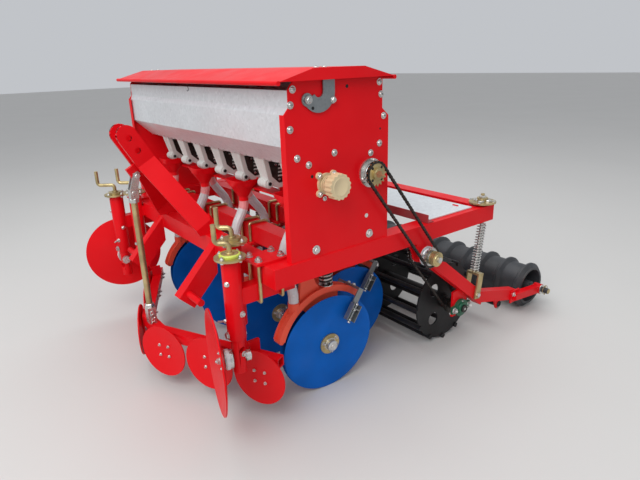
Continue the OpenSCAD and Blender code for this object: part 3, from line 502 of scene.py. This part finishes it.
def dome(p, place, r=7.0, rise=4.6, wash=10.0):
    """A round headed screw on its washer, with a dark patch of painted shade for its socket in the middle."""
    washer(p, place, wash)
    head = [(r * math.cos(a), 1.6 + rise * math.sin(a)) for a in (0.0, 0.35, 0.7, 1.0, 1.25)]
    p.lathe(place, [(0, 1.2), (r, 1.2)] + head + [(0, 1.6 + rise)], 16)
    # The socket, drawn as a dark patch: painted shade
    p.lathe(place, [(0, rise), (2.6, rise), (2.6, rise + 1.9), (1.9, rise + 2.0),
                    (1.4, rise + 1.4), (0, rise + 1.4)], 6, "dark_steel")


def hole(p, place, r):
    """A drilled hole: a faint rim round a black disc, painted shade for the hole's dark inside."""
    p.lathe(place, [(0, -0.3), (r + 0.7, -0.3), (r + 0.5, 0.35), (r, 0.45), (r * 0.9, 0.1),
                    (0, 0.1)], 16, "black_paint")


# Hopper and end plates

END_BOLTS = [(89, 1013), (80, 975), (76, 914), (94, 838), (131, 816), (220, 838), (356, 821),
             (391, 845), (407, 923), (396, 984), (389, 1018)]
FOOT_BOLTS = [(146, 571), (350, 575)]
LID_ARM_WASHER = (214, 981)
LID_ARM_BOLT = (216, 980)
LID_ARM_HOLE = (147, 963)
RIDGE_SCREWS = (172, 199)
PLATE_PLUG = (339, 634)
PLATE_SCREW = (182, 715)

# Drilled holes of the end plates as (depth, height, radius)
PLATE_HOLES = [(269, 1012, 4.5), (141, 783, 4), (394, 887, 2.5), (399, 679, 3.5)]


def hopper_pieces():
    p = Piece("end_plate_bolts", "bright_zinc")
    for s in SIDES:
        face = s * PLATE_OUT
        for spot in END_BOLTS:
            dome(p, on_side(face, *spot))
        for spot in FOOT_BOLTS:
            bolt(p, on_side(face, *spot), across=17, head=7, wash=13.5)
        p.lathe(on_side(face, *PLATE_PLUG), [(0, -SINK), (6.6, -SINK), (6.6, 0.5), (6.0, 1.0),
                                             (5.4, 0.5), (0, 0.4)], 20, "grey_plastic")
        dome(p, on_side(face, *PLATE_SCREW), r=5, rise=2.0, wash=7)
        bolt(p, on_side(s * (PLATE_OUT + 12.6), *LID_PIVOT), across=13, head=3.6, wash=0)
    p.done("frame")

    # Black discs of painted shade for the end plates' drilled holes
    p = Piece("end_plate_holes", "black_paint")
    for s in SIDES:
        for back, z, r in PLATE_HOLES:
            hole(p, on_side(s * PLATE_OUT, back, z), r)
    p.done("frame")

    # The arms' screws and stops, and the screws on the lid's ridge
    p = Piece("lid_arm_bolts", "bright_zinc")
    for s in SIDES:
        p.lathe(on_side(s * (PLATE_OUT + 2.2), *LID_ARM_WASHER),
                [(0, 0), (11, 0), (11, 3.6), (0, 3.6)], 20, "arm_steel")
        bolt(p, on_side(s * (PLATE_OUT + 5.8), *LID_ARM_BOLT), across=13, head=5, wash=9)
        # The arm's hole, a black disc of painted shade
        hole(p, on_side(s * (PLATE_OUT + 6), *LID_ARM_HOLE), 4)
        for back in RIDGE_SCREWS:
            dome(p, upright(s * 578, back, LID_TOP), r=5.5, rise=2.6, wash=7.5)
    p.done("lid")

    # The hook lies flat, because the open lid passes close in front of the sheet
    p = Piece("hopper_hook", "dark_steel")
    p.sweep(arc(at(-12, 74.9, 1004), X, Z, 0.007, -140, 100, 16), ring(1.1, 10))
    p.done("frame")


# Metering

# A unit's front lip, and its half width from the foot up to the hopper's floor
UNIT_LIP = (168, 716)
UNIT_HALF_FOOT = 21
UNIT_SPREAD = 9 / (HOPPER_FLOOR[1] - UNIT_LIP[1])


def unit_side(z):
    """Half the width of a metering unit at this height."""
    return UNIT_HALF_FOOT + (z - UNIT_LIP[1]) * UNIT_SPREAD


def metering_pieces():
    p = Piece("metering_caps", "grey_plastic")
    for x in ROWS:
        p.lathe(on_near_side(x + 25, *UNIT_LIP), [(0, -SINK), (6.2, -SINK), (6.2, 0.8), (5.4, 1.4),
                                                  (4.6, 0.5), (0, 0.3)], 16, "black_paint")
        for u in (-22, -9, 4, 15):
            p.lathe(on_near_side(x + u, *UNIT_LIP), [(14, -1.6), (15.9, -1.2), (15.9, 1.2),
                                                     (14, 1.6)], 24, loop=True)
        for s in SIDES:
            rib = [at(x + s * u, back, z) for u, back, z in
                   ((21, 147, 792), (19, 158, 752), (17, 164.5, 728))]
            p.sweep(rib, [(-1.5, -1.5), (1.5, -1.5), (1.5, 1.5), (-1.5, 1.5)])
        dome(p, on_near_side(x + 27.4, 240, 778), r=5, rise=2.5, wash=7)
    p.done("frame")
    unit_shade_sheets()

    # Screws along the lower edge of the hopper's folded front
    p = Piece("metering_front_screws", "bright_zinc")
    fold = Vector((0, HOPPER_FOLD[0] - HOPPER_FLOOR[0], HOPPER_FOLD[1] - HOPPER_FLOOR[1]))
    fold.normalize()
    for x in ROWS:
        for u in (-56, -19, 19, 56):
            q = at(x + u, *HOPPER_FLOOR) + fold * 0.007
            p.lathe(facing(q, (0, -fold.z, fold.y)), [(0, -0.2), (3.6, -0.2), (3.0, 1.6),
                                                      (0, 2.2)], 12)
    p.done("frame")
    funnel_rims()

    p = Piece("metering_knob_bolts", "bright_zinc")
    for a in angles(4, 45):
        bolt(p, on_side(PLATE_OUT + 7, *around(KNOB, 35, a)), across=10, head=5, wash=7.5)
    p.done("frame")

    p = Piece("metering_knob_rim", "beige_plastic")
    p.lathe(on_side(652, *KNOB), [(0, -0.5), (27, -0.5), (26, 0.0), (25, 0.9), (23, 0.9),
                                  (22, 0.2), (0, 0.2)], 40)
    for a in angles(16, 11.25):
        p.lathe(on_side(648, *around(KNOB, 35.2, a)), [(0, -22), (1.6, -22), (1.6, 3.0),
                                                       (0, 3.6)], 8)
    p.done("frame")

    p = Piece("metering_bearing_trim", "bright_zinc")
    for a in angles(3, 80):
        place = on_side(PLATE_OUT + 6, *around(METER, 38.6, a))
        p.prism(place, hexagon(7.5), -SINK, 5, 0.8)
        p.lathe(place, thread(2.3, 4.5, 5), 10)
    seat = on_side(PLATE_OUT + 15, *METER)
    p.lathe(seat, [(12, -0.5), (22, -0.5), (22.5, 1.2), (20, 1.8), (16, 0.8), (12, 0.8)], 32,
            loop=True)
    p.lathe(seat, [(25, -0.4), (32, -0.4), (31, 1.4), (26, 1.4)], 32, "galvanised", loop=True)
    p.done("frame")

    p = Piece("metering_shaft_end", "bright_zinc")
    for a in angles(4, 45):
        place = on_side(616, *around(METER, 25, a))
        p.lathe(place, [(4.4, -0.2), (5.6, -0.2), (5.4, 0.5), (4.6, 0.5)], 16, "yellow_zinc",
                loop=True)
        p.lathe(place, [(0, -0.1), (4.4, -0.1), (4.4, 0.2), (0, 0.2)], 16, "black_paint")
    p.lathe(on_side(623, *METER), [(10, -0.3), (15.5, -0.3), (15, 1.0), (10, 1.4)], 24,
            "yellow_zinc", loop=True)
    pin = [(627, -13, 4), (627, 12, -4), (628, 15, -8)]
    p.sweep([at(x, METER[0] + u, METER[1] + v) for x, u, v in pin], ring(1.6), "copper")
    p.done("metering_shaft")


def unit_shade_sheets():
    """Dark sheets on both sides of each metering unit, painted shade for their recesses, with screws and bars."""
    screw_lean = 0.107
    outline = [(178, 738), (204, 714), (320, 726), (322, 788), (164, 788)]
    screws = [(190, 776), (205, 726), (306, 736), (306, 776)]
    bar_section = [(0.4, -2.6), (2.6, -1.8), (2.6, 1.8), (0.4, 2.6)]
    bar_ends = (200, 296)
    bar_faces = [[0, 1, 3, 2], [2, 3, 5, 4], [4, 5, 7, 6], [6, 7, 1, 0], [0, 2, 4, 6], [1, 3, 5, 7]]
    n = len(outline)
    panel_faces = strip(n, 0) + [list(range(n)), list(range(n, 2 * n))]
    p = Piece("metering_side_shade_sheets", "dark_steel")
    for x in ROWS:
        for s in SIDES:
            # The dark steel sheets are painted shade where the units' sides fall in shadow
            p.shape(Matrix(), [at(x + s * (unit_side(z) + t), back, z) * 1000 for t in (-0.6, 0.9)
                               for back, z in outline], panel_faces)
            for back, z in screws:
                q = at(x + s * (unit_side(z) + 0.6), back, z)
                p.lathe(facing(q, (s, 0, -screw_lean)), [(0, -0.2), (4.2, -0.2), (3.6, 1.8),
                                                         (0, 2.4)], 12, "bright_zinc")
            for z in (738, 750, 762, 774):
                skin = x + s * unit_side(z)
                p.shape(Matrix(), [at(skin + s * t, back, z + h) * 1000 for t, h in bar_section
                                   for back in bar_ends], bar_faces, "grey_plastic")
    p.done("frame")


def funnel_rims():
    """Hollow rims that turn from the round funnels into rounded squares under the spouts."""
    count = 40
    # Half width, how square it is (2 is a circle) and height, up the outside and down the inside
    layers = [(45, 2, 687), (46, 4, 698), (47.5, 6, 708), (46.5, 6, 709),
              (45, 6, 708), (43.6, 4, 698), (42.5, 2, 687)]
    verts = []
    for half, square, z in layers:
        for k in range(count):
            a = 2 * math.pi * k / count
            u, v = math.cos(a), math.sin(a)
            r = half / (abs(u) ** square + abs(v) ** square) ** (1 / square)
            verts.append((r * u, r * v, z))
    total = len(verts)
    faces = [[i % total for i in f] for j in range(len(layers)) for f in strip(count, j)]
    p = Piece("funnel_rims", "red_paint")
    for x, back in zip(ROWS, FUNNEL_BACK):
        p.shape(upright(x, back, 0), verts, faces)
    p.done("frame")


# Chains: real links take the place of the solid bands

CHAIN_PITCH = 12.7
SPROCKET_R = 34.56
LINK_R = 4.3
LINK_WAIST = 3.0
LINK_T = 0.85
LINK_IN, LINK_OUT = 2.65, 3.5
PIN_R, PIN_END = 1.9, 5.0
ROLLER_R = 3.9

# The teeth reach this far along the straight runs, and the links there have no rollers
TEETH_REACH = 16


def chain(name, x, a, b, node):
    """A closed loop of links round the sprockets at a and b, in the plane at x."""
    p = Piece(name, "dark_steel")
    run = math.hypot(b[0] - a[0], b[1] - a[1])
    u = ((b[0] - a[0]) / run, (b[1] - a[1]) / run)
    v = (-u[1], u[0])
    half = math.pi * SPROCKET_R
    total = 2 * run + 2 * half
    count = 2 * round(total / CHAIN_PITCH / 2)

    def point(d):
        """The chain's middle line, d millimetres from where it leaves the first sprocket."""
        if d < run:
            s, t = d, SPROCKET_R
        elif d < run + half:
            w = (d - run) / SPROCKET_R
            s, t = run + SPROCKET_R * math.sin(w), SPROCKET_R * math.cos(w)
        elif d < 2 * run + half:
            s, t = run - (d - run - half), -SPROCKET_R
        else:
            w = (d - 2 * run - half) / SPROCKET_R
            s, t = -SPROCKET_R * math.sin(w), -SPROCKET_R * math.cos(w)
        return a[0] + s * u[0] + t * v[0], a[1] + s * u[1] + t * v[1]

    pins = [point(total * i / count) for i in range(count)]
    for i, q in enumerate(pins):
        r = pins[(i + 1) % count]
        length = math.hypot(r[0] - q[0], r[1] - q[1])
        turn = math.atan2(r[1] - q[1], r[0] - q[0])
        ends = [[(middle + LINK_R * math.cos(w), LINK_R * math.sin(w))
                 for w in (math.radians(first + 48 * k) for k in range(6))]
                for middle, first in ((0, 60), (length, -120))]
        plate = ends[0] + [(length / 2, -LINK_WAIST)] + ends[1] + [(length / 2, LINK_WAIST)]
        place = on_near_side(x, *q) @ Matrix.Rotation(turn, 4, "Z")
        low = LINK_OUT if i % 2 else LINK_IN
        for s in SIDES:
            p.prism(place, plate, s * low, s * (low + LINK_T))
        along = (total * i / count) % (run + half)
        if TEETH_REACH < along < run - TEETH_REACH:
            p.lathe(place, [(0, -PIN_END), (PIN_R, -PIN_END), (2.0, -2.0), (ROLLER_R, -1.9),
                            (ROLLER_R, 1.9), (2.0, 2.0), (PIN_R, PIN_END), (0, PIN_END)], 10)
        else:
            for s in SIDES:
                p.lathe(place, [(0, s * 2.7), (PIN_R, s * 2.7), (PIN_R, s * PIN_END),
                                (0, s * PIN_END)], 10)
    p.done("frame", node)


# Openers

ARCH_TURN = math.radians(55)


def opener_pieces():
    for n in DISCS:
        c, axis = joint_of(n)
        out = axis * (1 if n.endswith("near") else -1)
        side, up = across_axis(out)
        flange = c + out * 0.0065
        p = Piece(n + "_bolts", "bright_zinc")
        for a in angles(3, 20):
            q = flange + (side * math.cos(a) + up * math.sin(a)) * 0.0288
            p.lathe(facing(q, out), [(0, -SINK), (5.6, -SINK), (5.6, 1.6), (4.6, 2.2), (3.2, 2.2),
                                     (3.1, 7.4), (2.4, 8.2), (0, 8.2)], 12)
        p.lathe(facing(c + out * 0.028, out), [(0, -SINK), (9.5, -SINK), (9.0, 0.9), (6.5, 1.3),
                                               (5.6, 0.4), (0, 0.3)], 20)
        p.lathe(facing(flange, out), [(19.5, -0.3), (22.5, -0.3), (22.0, 2.2), (19.8, 3.2)], 28,
                loop=True)
        p.done(n)
    spring_coils()

    p = Piece("opener_arch_bolts", "bright_zinc")
    d = Vector((0, math.cos(ARCH_TURN), math.sin(ARCH_TURN)))
    for x, mid in zip(ROWS, BEAM_MID):
        for s in SIDES:
            q = at(x + s * 13, mid + DISC_BEHIND_BEAM, DISC_Z) + d * 0.213
            bolt(p, facing(q, d), across=10, head=5, wash=8)
    p.done("frame")

    # Slots in the scrapers' plates, drawn as black blocks of painted shade, and collars on their rods
    p = Piece("scraper_trim", "bright_zinc")
    for x, mid in zip(ROWS, BEAM_MID):
        center = at(x, mid + DISC_BEHIND_BEAM, DISC_Z)
        arch = Matrix.Translation(center) @ Matrix.Rotation(ARCH_TURN, 4, "X")
        for s in SIDES:
            for y in (107, 119, 131):
                for z in (-11.5, 11.5):
                    slot = arch @ Matrix.Translation(Vector((s * 57.2, y, z)) / 1000)
                    p.block(slot, (1.6, 8.5, 6.5), 0.6, "black_paint")
            foot = Matrix.Translation(Vector((s * 64, 90, 0)) / 1000)
            rod = arch @ foot @ Matrix.Rotation(math.radians(-90), 4, "X")
            for h in (3, 12, 48, 68):
                p.lathe(rod, [(3.6, h - 2), (5.6, h - 2), (5.6, h + 2), (3.6, h + 2)], 16,
                        loop=True)
    p.done("frame")


def spring_coils():
    """Black flat coils whose chamfered edges are bright zinc as a painted highlight, and a bright wire between
    them, in the solids' place.
    """
    low, high, r = DISC_Z + 207, FRAME_BOT - 10, 19
    length = high - low
    foot, ends = 5.2, 9.8
    turns, steps = 7, 18
    count = turns * steps
    section = [(-3.4, -4.4), (2.4, -4.4), (3.6, -3.2), (3.6, 3.2), (2.4, 4.4), (-3.4, 4.4)]
    m = len(section)
    verts, black, bright, wire = [], [], [], []
    for i in range(count + 1):
        a = 2 * math.pi * i / steps
        z = foot + (length - ends) * i / count
        verts += [((r + u) * math.cos(a), (r + u) * math.sin(a), z + w) for u, w in section]
    # The chamfer faces, k 1 and 3, go in bright: a painted highlight along the coils' edges
    for i in range(count):
        for k, f in enumerate(strip(m, i)):
            (bright if k in (1, 3) else black).append(f)
    black += [list(range(m))[::-1], [count * m + k for k in range(m)]]
    for i in range(steps * (turns - 1) + 1):
        a = 2 * math.pi * i / steps
        z = foot + (length - ends) / turns * (a / 2 / math.pi + 0.5)
        wire.append(((r + 2.4) * math.cos(a), (r + 2.4) * math.sin(a), z))

    p = Piece("opener_spring_coils", "black_paint")
    for x, mid in zip(ROWS, BEAM_MID):
        place = Matrix.Translation(at(x, mid + SPRING_BEHIND_BEAM, low))
        p.shape(place, verts, black)
        # Bright zinc on the chamfers: painted highlight
        p.shape(place, verts, bright, "bright_zinc")
        p.sweep([place @ (Vector(v) / 1000) for v in wire], ring(1.7, 6), "bright_zinc")
        p.lathe(place, [(0, -1.5), (7, -1.5), (7, length), (0, length)], 16, "bright_zinc")
        p.lathe(place, [(0, -1.5), (24, -1.5), (24, 0.2), (23, 0.8), (0, 0.8)], 24, "bright_zinc")
    p.done("frame", "opener_springs")


# Front tools

# Bolts on the outer columns as (height, turn, column's radius, across flats, stud)
OUTER_COL_BOLTS = [(442, 175, 27, 11, 0), (387, 235, 27, 11, 18), (348, 262, 27, 17, 0),
                   (415, 20, 27, 13, 0), (286, 20, 20, 12, 0), (511, 300, 27, 11, 0)]

# Bolts on the inner columns as (height, turn, distance from the middle)
INNER_COL_BOLTS = [(452, 200, 24.4), (300, 20, 16.4), (380, 250, 24.4)]

# The paddles along the bar, in metres, and the faces that their bolts sit on, from its middle
PADDLE_FIRST, PADDLE_PITCH = 0.033, 0.196
PADDLE_FRONT, BAR_HALF = 0.0261, 0.0175
PADDLE_Z = 145

# The lifting rod and the shackle on top of it
LIFT_ROD_BACK = -161
SHACKLE = (-144, 745)


def column_fasteners():
    p = Piece("column_fasteners", "bright_zinc")
    for s in SIDES:
        for x, back, top in (OUTER_COL, INNER_COL):
            for a in angles(4, 25):
                q = (s * x + 35 * math.cos(a), back + 35 * math.sin(a))
                bolt(p, upright(*q, top + 6), across=10, head=4.5, wash=7, stud=4)
                p.prism(upright(*q, top), hexagon(10), -5.5, 0.4)
            p.lathe(upright(s * x, back, top + 15), [(6.9, -0.3), (12, -0.3), (12, 3), (11, 4),
                                                     (6.9, 4)], 20, "yellow_zinc", loop=True)
    x, back, top = OUTER_COL
    p.lathe(upright(x, back, top + 6), [(24.8, -0.2), (29, -0.2), (30, 1.5), (30, 6.5), (28.5, 8.5),
                                        (25, 9.6), (24.8, 9.2)], 36, "lime_plastic", loop=True)
    for s in SIDES:
        for z, turn, r, across, stud in OUTER_COL_BOLTS:
            a = math.radians(turn)
            d = Vector((s * math.cos(a), math.sin(a), 0))
            bolt(p, facing(at(s * x, back, z) + d * ((r - 0.6) / 1000), d), across=across,
                 wash=across * 0.72, stud=stud)
        for z, turn, r in INNER_COL_BOLTS:
            a = math.radians(turn)
            d = Vector((s * math.cos(a), math.sin(a), 0))
            bolt(p, facing(at(s * INNER_COL[0], INNER_COL[1], z) + d * (r / 1000), d), across=12,
                 wash=0)
    p.done("frame")


def paddle_bolts():
    """Four bolts through each paddle and two on its bracket, mirrored to the other side.

    u runs along the bar and w points to the front of it, square to u.
    """
    u = Vector((math.cos(BAR_TURN), math.sin(BAR_TURN), 0))
    w = Vector((math.sin(BAR_TURN), -math.cos(BAR_TURN), 0))
    start = at(0, 0, 0) + Vector((*BAR_START, 0)) / 1000

    def mirrored(q, direction, s):
        return facing(Vector((q.x * s, q.y, q.z)), direction * Vector((s, 1, 1)))

    p = Piece("paddle_bolts", "bright_zinc")
    for s in SIDES:
        for k in range(3):
            foot = start + u * (PADDLE_FIRST + PADDLE_PITCH * k)
            for i in SIDES:
                for j in SIDES:
                    q = foot + u * (0.019 * i) + Z * ((PADDLE_Z + 19 * j) / 1000)
                    bolt(p, mirrored(q + w * PADDLE_FRONT, w, s), across=10, head=4.4, wash=0,
                         stud=4)
                    bolt(p, mirrored(q + w * BAR_HALF, -w, s), across=10, head=5, wash=0)
            for i in SIDES:
                q = foot + u * (0.021 * i) - w * BAR_HALF + Z * 0.198
                bolt(p, mirrored(q, -w, s), wash=9, stud=6)
    p.done("frame")


def front_disc_pieces():
    for n in FRONT_DISCS:
        c, ax = joint_of(n)
        side, up = across_axis(ax)
        p = Piece(n + "_bolts", "bright_zinc")
        for a in angles(4, 45):
            q = c + (side * math.cos(a) + up * math.sin(a)) * 0.023
            bolt(p, facing(q - ax * 0.0176, ax), across=8, head=4, wash=0, stud=3)
        p.done(n)
    p = Piece("front_hub_nuts", "bright_zinc")
    for n in FRONT_DISCS:
        c, ax = joint_of(n)
        bolt(p, facing(c - ax * 0.0124, ax), across=15, head=7, wash=0, stud=5)
        p.lathe(facing(c - ax * 0.030, ax), [(28, -12), (30.5, -11), (30.5, -1), (28, 0)], 28,
                "galvanised", loop=True)
    p.done("frame")


def lift_rod_trim():
    """Nuts and pins with split rings on the lifting rod, and the grip at its shackle."""
    p = Piece("lift_rod_trim", "bright_zinc")
    for z in (275, 656):
        p.prism(upright(0, LIFT_ROD_BACK, z), hexagon(29), 0.0, 14, 2.0)
    for z, half in ((228, 16), (256, 16), (688, 14)):
        for s in SIDES:
            p.lathe(on_side(s * half, LIFT_ROD_BACK, z), [(0, -SINK), (8, -SINK), (8, 2.4),
                                                          (7, 3.2), (0, 3.2)], 16)
    for z in (228, 256):
        eye = at(19.6, LIFT_ROD_BACK, z)
        p.sweep(arc(eye - Z * 0.012, Y, Z, 0.008, 0, 330, 16) + [eye + Z * 0.016], ring(1.4))
    grip = at(-18, *SHACKLE)
    bends = [(-0.010, 0, 0), (-0.020, -0.001, -0.006), (-0.025, -0.002, -0.020),
             (-0.025, -0.003, -0.052), (-0.020, -0.004, -0.066)]
    p.sweep([at(-14, *SHACKLE)] + [grip + Vector(b) for b in bends], ring(5.5, 12),
            "yellow_zinc")
    bolt(p, on_side(18, *SHACKLE), across=15, head=7, wash=0)
    p.done("frame")


def clamp_washers():
    """Washers under the nuts of the clamps that hold the outer columns."""
    p = Piece("clamp_washers", "bright_zinc")
    for s in SIDES:
        for back in (-7, 67):
            for k in SIDES:
                p.lathe(upright(s * OUTER_COL[0] + k * 25.3, back, FRAME_TOP + 8),
                        [(5.2, 0), (11.5, 0), (11.5, 1.6), (5.2, 1.6)], 20, loop=True)
    p.done("frame")


# Walkway, arms and rollers

STRUT_FOOT = (900, 205)

# The handwheels' places as (x, depth), and the height of their plates
HANDWHEEL = (561, 953)
HANDWHEEL_Z = FRAME_TOP + 12.6


def rear_pieces():
    p = Piece("walkway_tabs", "red_paint")
    for s in SIDES:
        for back in (676, 854):
            p.block(upright(s * 514, back, 550), (25, 6.4, 12), 1.2)
    p.done("frame")

    p = Piece("rear_arm_fasteners", "bright_zinc")
    for s in SIDES:
        bolt(p, on_side(s * 605, 1158, 126), across=15, head=7, stud=4)
        bolt(p, on_side(s * 608.2, *STRUT_FOOT), across=16, head=7.5, wash=0)
        bolt(p, facing(at(s * 581, 1079, 85), (0, 0.4, -0.9)), head=8, wash=0)
        p.lathe(on_side(s * 583.5, 1084, 99), [(0, -1), (13, -1), (13, 3), (9, 3.4), (8.4, 1.2),
                                               (0, 1.0)], 20, "black_paint")
        for back in (790, 874):
            bolt(p, on_side(s * 586, back, CAGE[1]), across=17, head=9, wash=12, stud=5)
        bolt(p, on_side(s * 588, CAGE[0], 193), across=6, head=4, wash=0)
    p.done("frame")

    p = Piece("cage_axle_ends", "dark_steel")
    for s in SIDES:
        p.lathe(on_side(s * 588.4, *CAGE), [(14.8, 0), (23, 0), (23.5, 1), (22, 7), (16, 8),
                                            (14.8, 8)], 28, "green_paint", loop=True)
        end = on_side(s * 602, *CAGE)
        p.lathe(end, [(0, -0.5), (15, -0.5), (14.2, 1.2), (8, 1.2), (7.4, 0.2), (0, 0.2)], 24)
        p.prism(end, hexagon(9), 0, 1.8, 0.4, "bright_zinc")
    p.done("cage_roller")

    p = Piece("ring_axle_pins", "yellow_zinc")
    for s in SIDES:
        p.lathe(on_side(s * 622.4, *RING), [(12, 0), (21, 0), (21, 2.4), (12, 2.4)], 28,
                "bright_zinc", loop=True)
        p.lathe(on_side(s * 655, *RING), [(0, -0.5), (12, -0.5), (10.6, 1.2), (0, 1.2)], 24)
        pin = at(s * 638, *RING)
        p.sweep([pin - Z * 0.020, pin + Z * 0.022], ring(2.6, 10))
        p.sweep(arc(pin + Z * 0.003, Y, Z, 0.019, 0, 360, 24)[:-1], ring(1.3), loop=True)
    p.done("ring_roller")

    # The handwheels' lobed plates
    lobes = []
    for degrees in range(0, 360, 5):
        a = math.radians(degrees)
        r = 26 + 9 * math.cos(4 * a)
        lobes.append((r * math.cos(a), r * math.sin(a)))
    p = Piece("handwheel_wings", "bright_zinc")
    for s in SIDES:
        x, back = s * HANDWHEEL[0], HANDWHEEL[1]
        p.prism(upright(x, back, HANDWHEEL_Z, 0.4), lobes, 0, 7, 2.0)
        p.prism(upright(x, back, HANDWHEEL_Z + 14), hexagon(24), 0, 9, 2.0)
        p.lathe(upright(x, back, FRAME_TOP + 35), thread(7.4, 0, 6.9), 16, "yellow_zinc")
        for a in angles(4, 20):
            q = upright(x + 42 * math.cos(a), back + 42 * math.sin(a), FRAME_TOP + 13)
            bolt(p, q, across=9, head=5, wash=6)
    p.done("frame")

    p = Piece("jackshaft_bearing", "galvanised")
    p.lathe(on_side(RAIL_OUT, *JACK), [(11, -0.4), (33, -0.4), (34, 0.6), (34, 3.4), (30, 4.4),
                                       (27, 4.4), (25, 9.5), (20, 10.4), (17, 9.0), (11, 9.0)],
            36, loop=True)
    for a in angles(3, 40):
        p.prism(on_side(RAIL_OUT + 4, *around(JACK, 29.5, a)), hexagon(8), 0, 5, 0.8,
                "bright_zinc")
    p.done("frame")

    p = Piece("clutch_trim", "yellow_zinc")
    for x, r in ((624, 25.5), (633, 25.0), (641, 25.5)):
        p.lathe(on_side(x, *JACK), [(23.5, -1.4), (r, -1.0), (r, 1.0), (23.5, 1.4)], 36, loop=True)
    p.lathe(on_side(643, *JACK), [(10, -0.2), (19, -0.2), (18, 2.0), (13, 2.6), (10, 2.6)], 30,
            loop=True)
    p.prism(on_side(645.4, *JACK), hexagon(18), 0, 4.6, 1.0, "bright_zinc")
    p.done("jackshaft")


# Weld seams, like small scales along an edge

WELD_STEP = 0.0035
HITCH_ARM_SIDES = (200, 240)
MAST_FOOT_SIDES = (164, 176)
COLUMN_ARM_SIDES = (475, 515)


def weld(p, a, b, r=2.6):
    """A bead from a to b that swells and shrinks, and runs out at both ends."""
    n = max(6, int((b - a).length / WELD_STEP))
    scales = [0.35 if i in (0, n) else 0.9 + 0.13 * math.sin(i * 2.1) + 0.07 * math.sin(i * 5.3)
              for i in range(n + 1)]
    p.sweep([a.lerp(b, i / n) for i in range(n + 1)], ring(r, 6), scales=scales)


def weld_pieces():
    p = Piece("weld_seams", "red_paint")
    for s in SIDES:
        weld(p, at(s * PLATE_OUT, 62, FRAME_TOP), at(s * PLATE_OUT, 425, FRAME_TOP))
        for back in BEAM_FRONTS:
            weld(p, at(s * RAIL_IN, back + 2, FRAME_TOP),
                 at(s * RAIL_IN, back + TUBE - 2, FRAME_TOP), 2.0)
        weld(p, at(s * RAIL_IN, 0, FRAME_BOT + 2), at(s * RAIL_IN, 0, FRAME_TOP - 2), 1.8)
        for x in HITCH_ARM_SIDES:
            weld(p, at(s * x, 0, FRAME_BOT + 1), at(s * x, 0, 529), 2.4)
        weld(p, at(s * 201, 0, 530), at(s * 239, 0, 530), 2.4)
        for x in MAST_FOOT_SIDES:
            weld(p, at(s * x, 3, FRAME_TOP), at(s * x, 56, FRAME_TOP), 2.4)
        for x in COLUMN_ARM_SIDES:
            weld(p, at(s * x, -61, 486), at(s * x, -61, 440), 2.2)
    p.done("frame")


# Floor, light and camera

def floor():
    bm = bmesh.new()
    bmesh.ops.create_grid(bm, x_segments=1, y_segments=1, size=30)
    me = bpy.data.meshes.new("floor")
    bm.to_mesh(me)
    bm.free()
    o = bpy.data.objects.new("floor", me)
    bpy.context.scene.collection.objects.link(o)
    o.location = (0, 0, -0.0005)
    me.materials.append(material("floor", (0.62, 0.61, 0.59), 0.8, vary=0.01, patch=1.0))


def area_light(name, place, target, side, power):
    data = bpy.data.lights.new(name, "AREA")
    data.shape = "RECTANGLE"
    data.size = data.size_y = side
    data.energy = power
    o = bpy.data.objects.new(name, data)
    bpy.context.scene.collection.objects.link(o)
    o.location = place
    o.rotation_euler = (Vector(target) - Vector(place)).to_track_quat("-Z", "Y").to_euler()


def lights():
    w = bpy.data.worlds.new("studio")
    bpy.context.scene.world = w
    w.use_nodes = True
    bg = w.node_tree.nodes["Background"]
    bg.inputs["Color"].default_value = (0.92, 0.95, 1.0, 1)
    bg.inputs["Strength"].default_value = 0.58
    area_light("key", (1.8, -3.2, 3.6), (0, 0, 0.5), 3.0, 128)
    area_light("top", (-0.5, 0.3, 4.2), (0, 0, 0.4), 4.0, 70)


def camera():
    """The photograph's view: place, azimuth, pitch and roll fitted to it, and its focal length."""
    place = Vector((1.70243, -0.68289 + Y0, 1.07721))
    az, pitch, roll = (math.radians(v) for v in (52.9253, 18.9364, -1.8662))
    focal_px, width_px, sensor_mm = 520.0956, 640, 36
    fwd = Vector((-math.sin(az) * math.cos(pitch), math.cos(az) * math.cos(pitch),
                  -math.sin(pitch)))
    right = Vector((math.cos(az), math.sin(az), 0))
    up = right.cross(fwd)
    rolled_right = math.cos(roll) * right + math.sin(roll) * up
    rolled_up = -math.sin(roll) * right + math.cos(roll) * up
    data = bpy.data.cameras.new("camera")
    data.sensor_width = sensor_mm
    data.lens = focal_px * sensor_mm / width_px
    data.clip_start = 0.02
    o = bpy.data.objects.new("camera", data)
    bpy.context.scene.collection.objects.link(o)
    turn = Matrix((rolled_right, rolled_up, -fwd)).transposed().to_4x4()
    o.matrix_world = Matrix.Translation(place) @ turn
    bpy.context.scene.camera = o


SOFTENED = ("side_rails", "cross_beams", "hitch_mast", "hitch_arms", "end_plates", "rear_arms",
            "leveller_bar", "outer_columns", "inner_columns", "walkway", "opener_hangers",
            "strut_rods")

finish_nodes()
hopper_pieces()
metering_pieces()
chain("upper_chain_links", UPPER_CHAIN_X, METER, JACK, "upper_chain")
chain("lower_chain_links", LOWER_CHAIN_X, JACK, CAGE, "lower_chain")
opener_pieces()
column_fasteners()
paddle_bolts()
front_disc_pieces()
lift_rod_trim()
clamp_washers()
rear_pieces()
weld_pieces()
for node_name in SOFTENED:
    soften(node_name)
floor()
lights()
camera()
bpy.context.scene.view_settings.view_transform = "Standard"
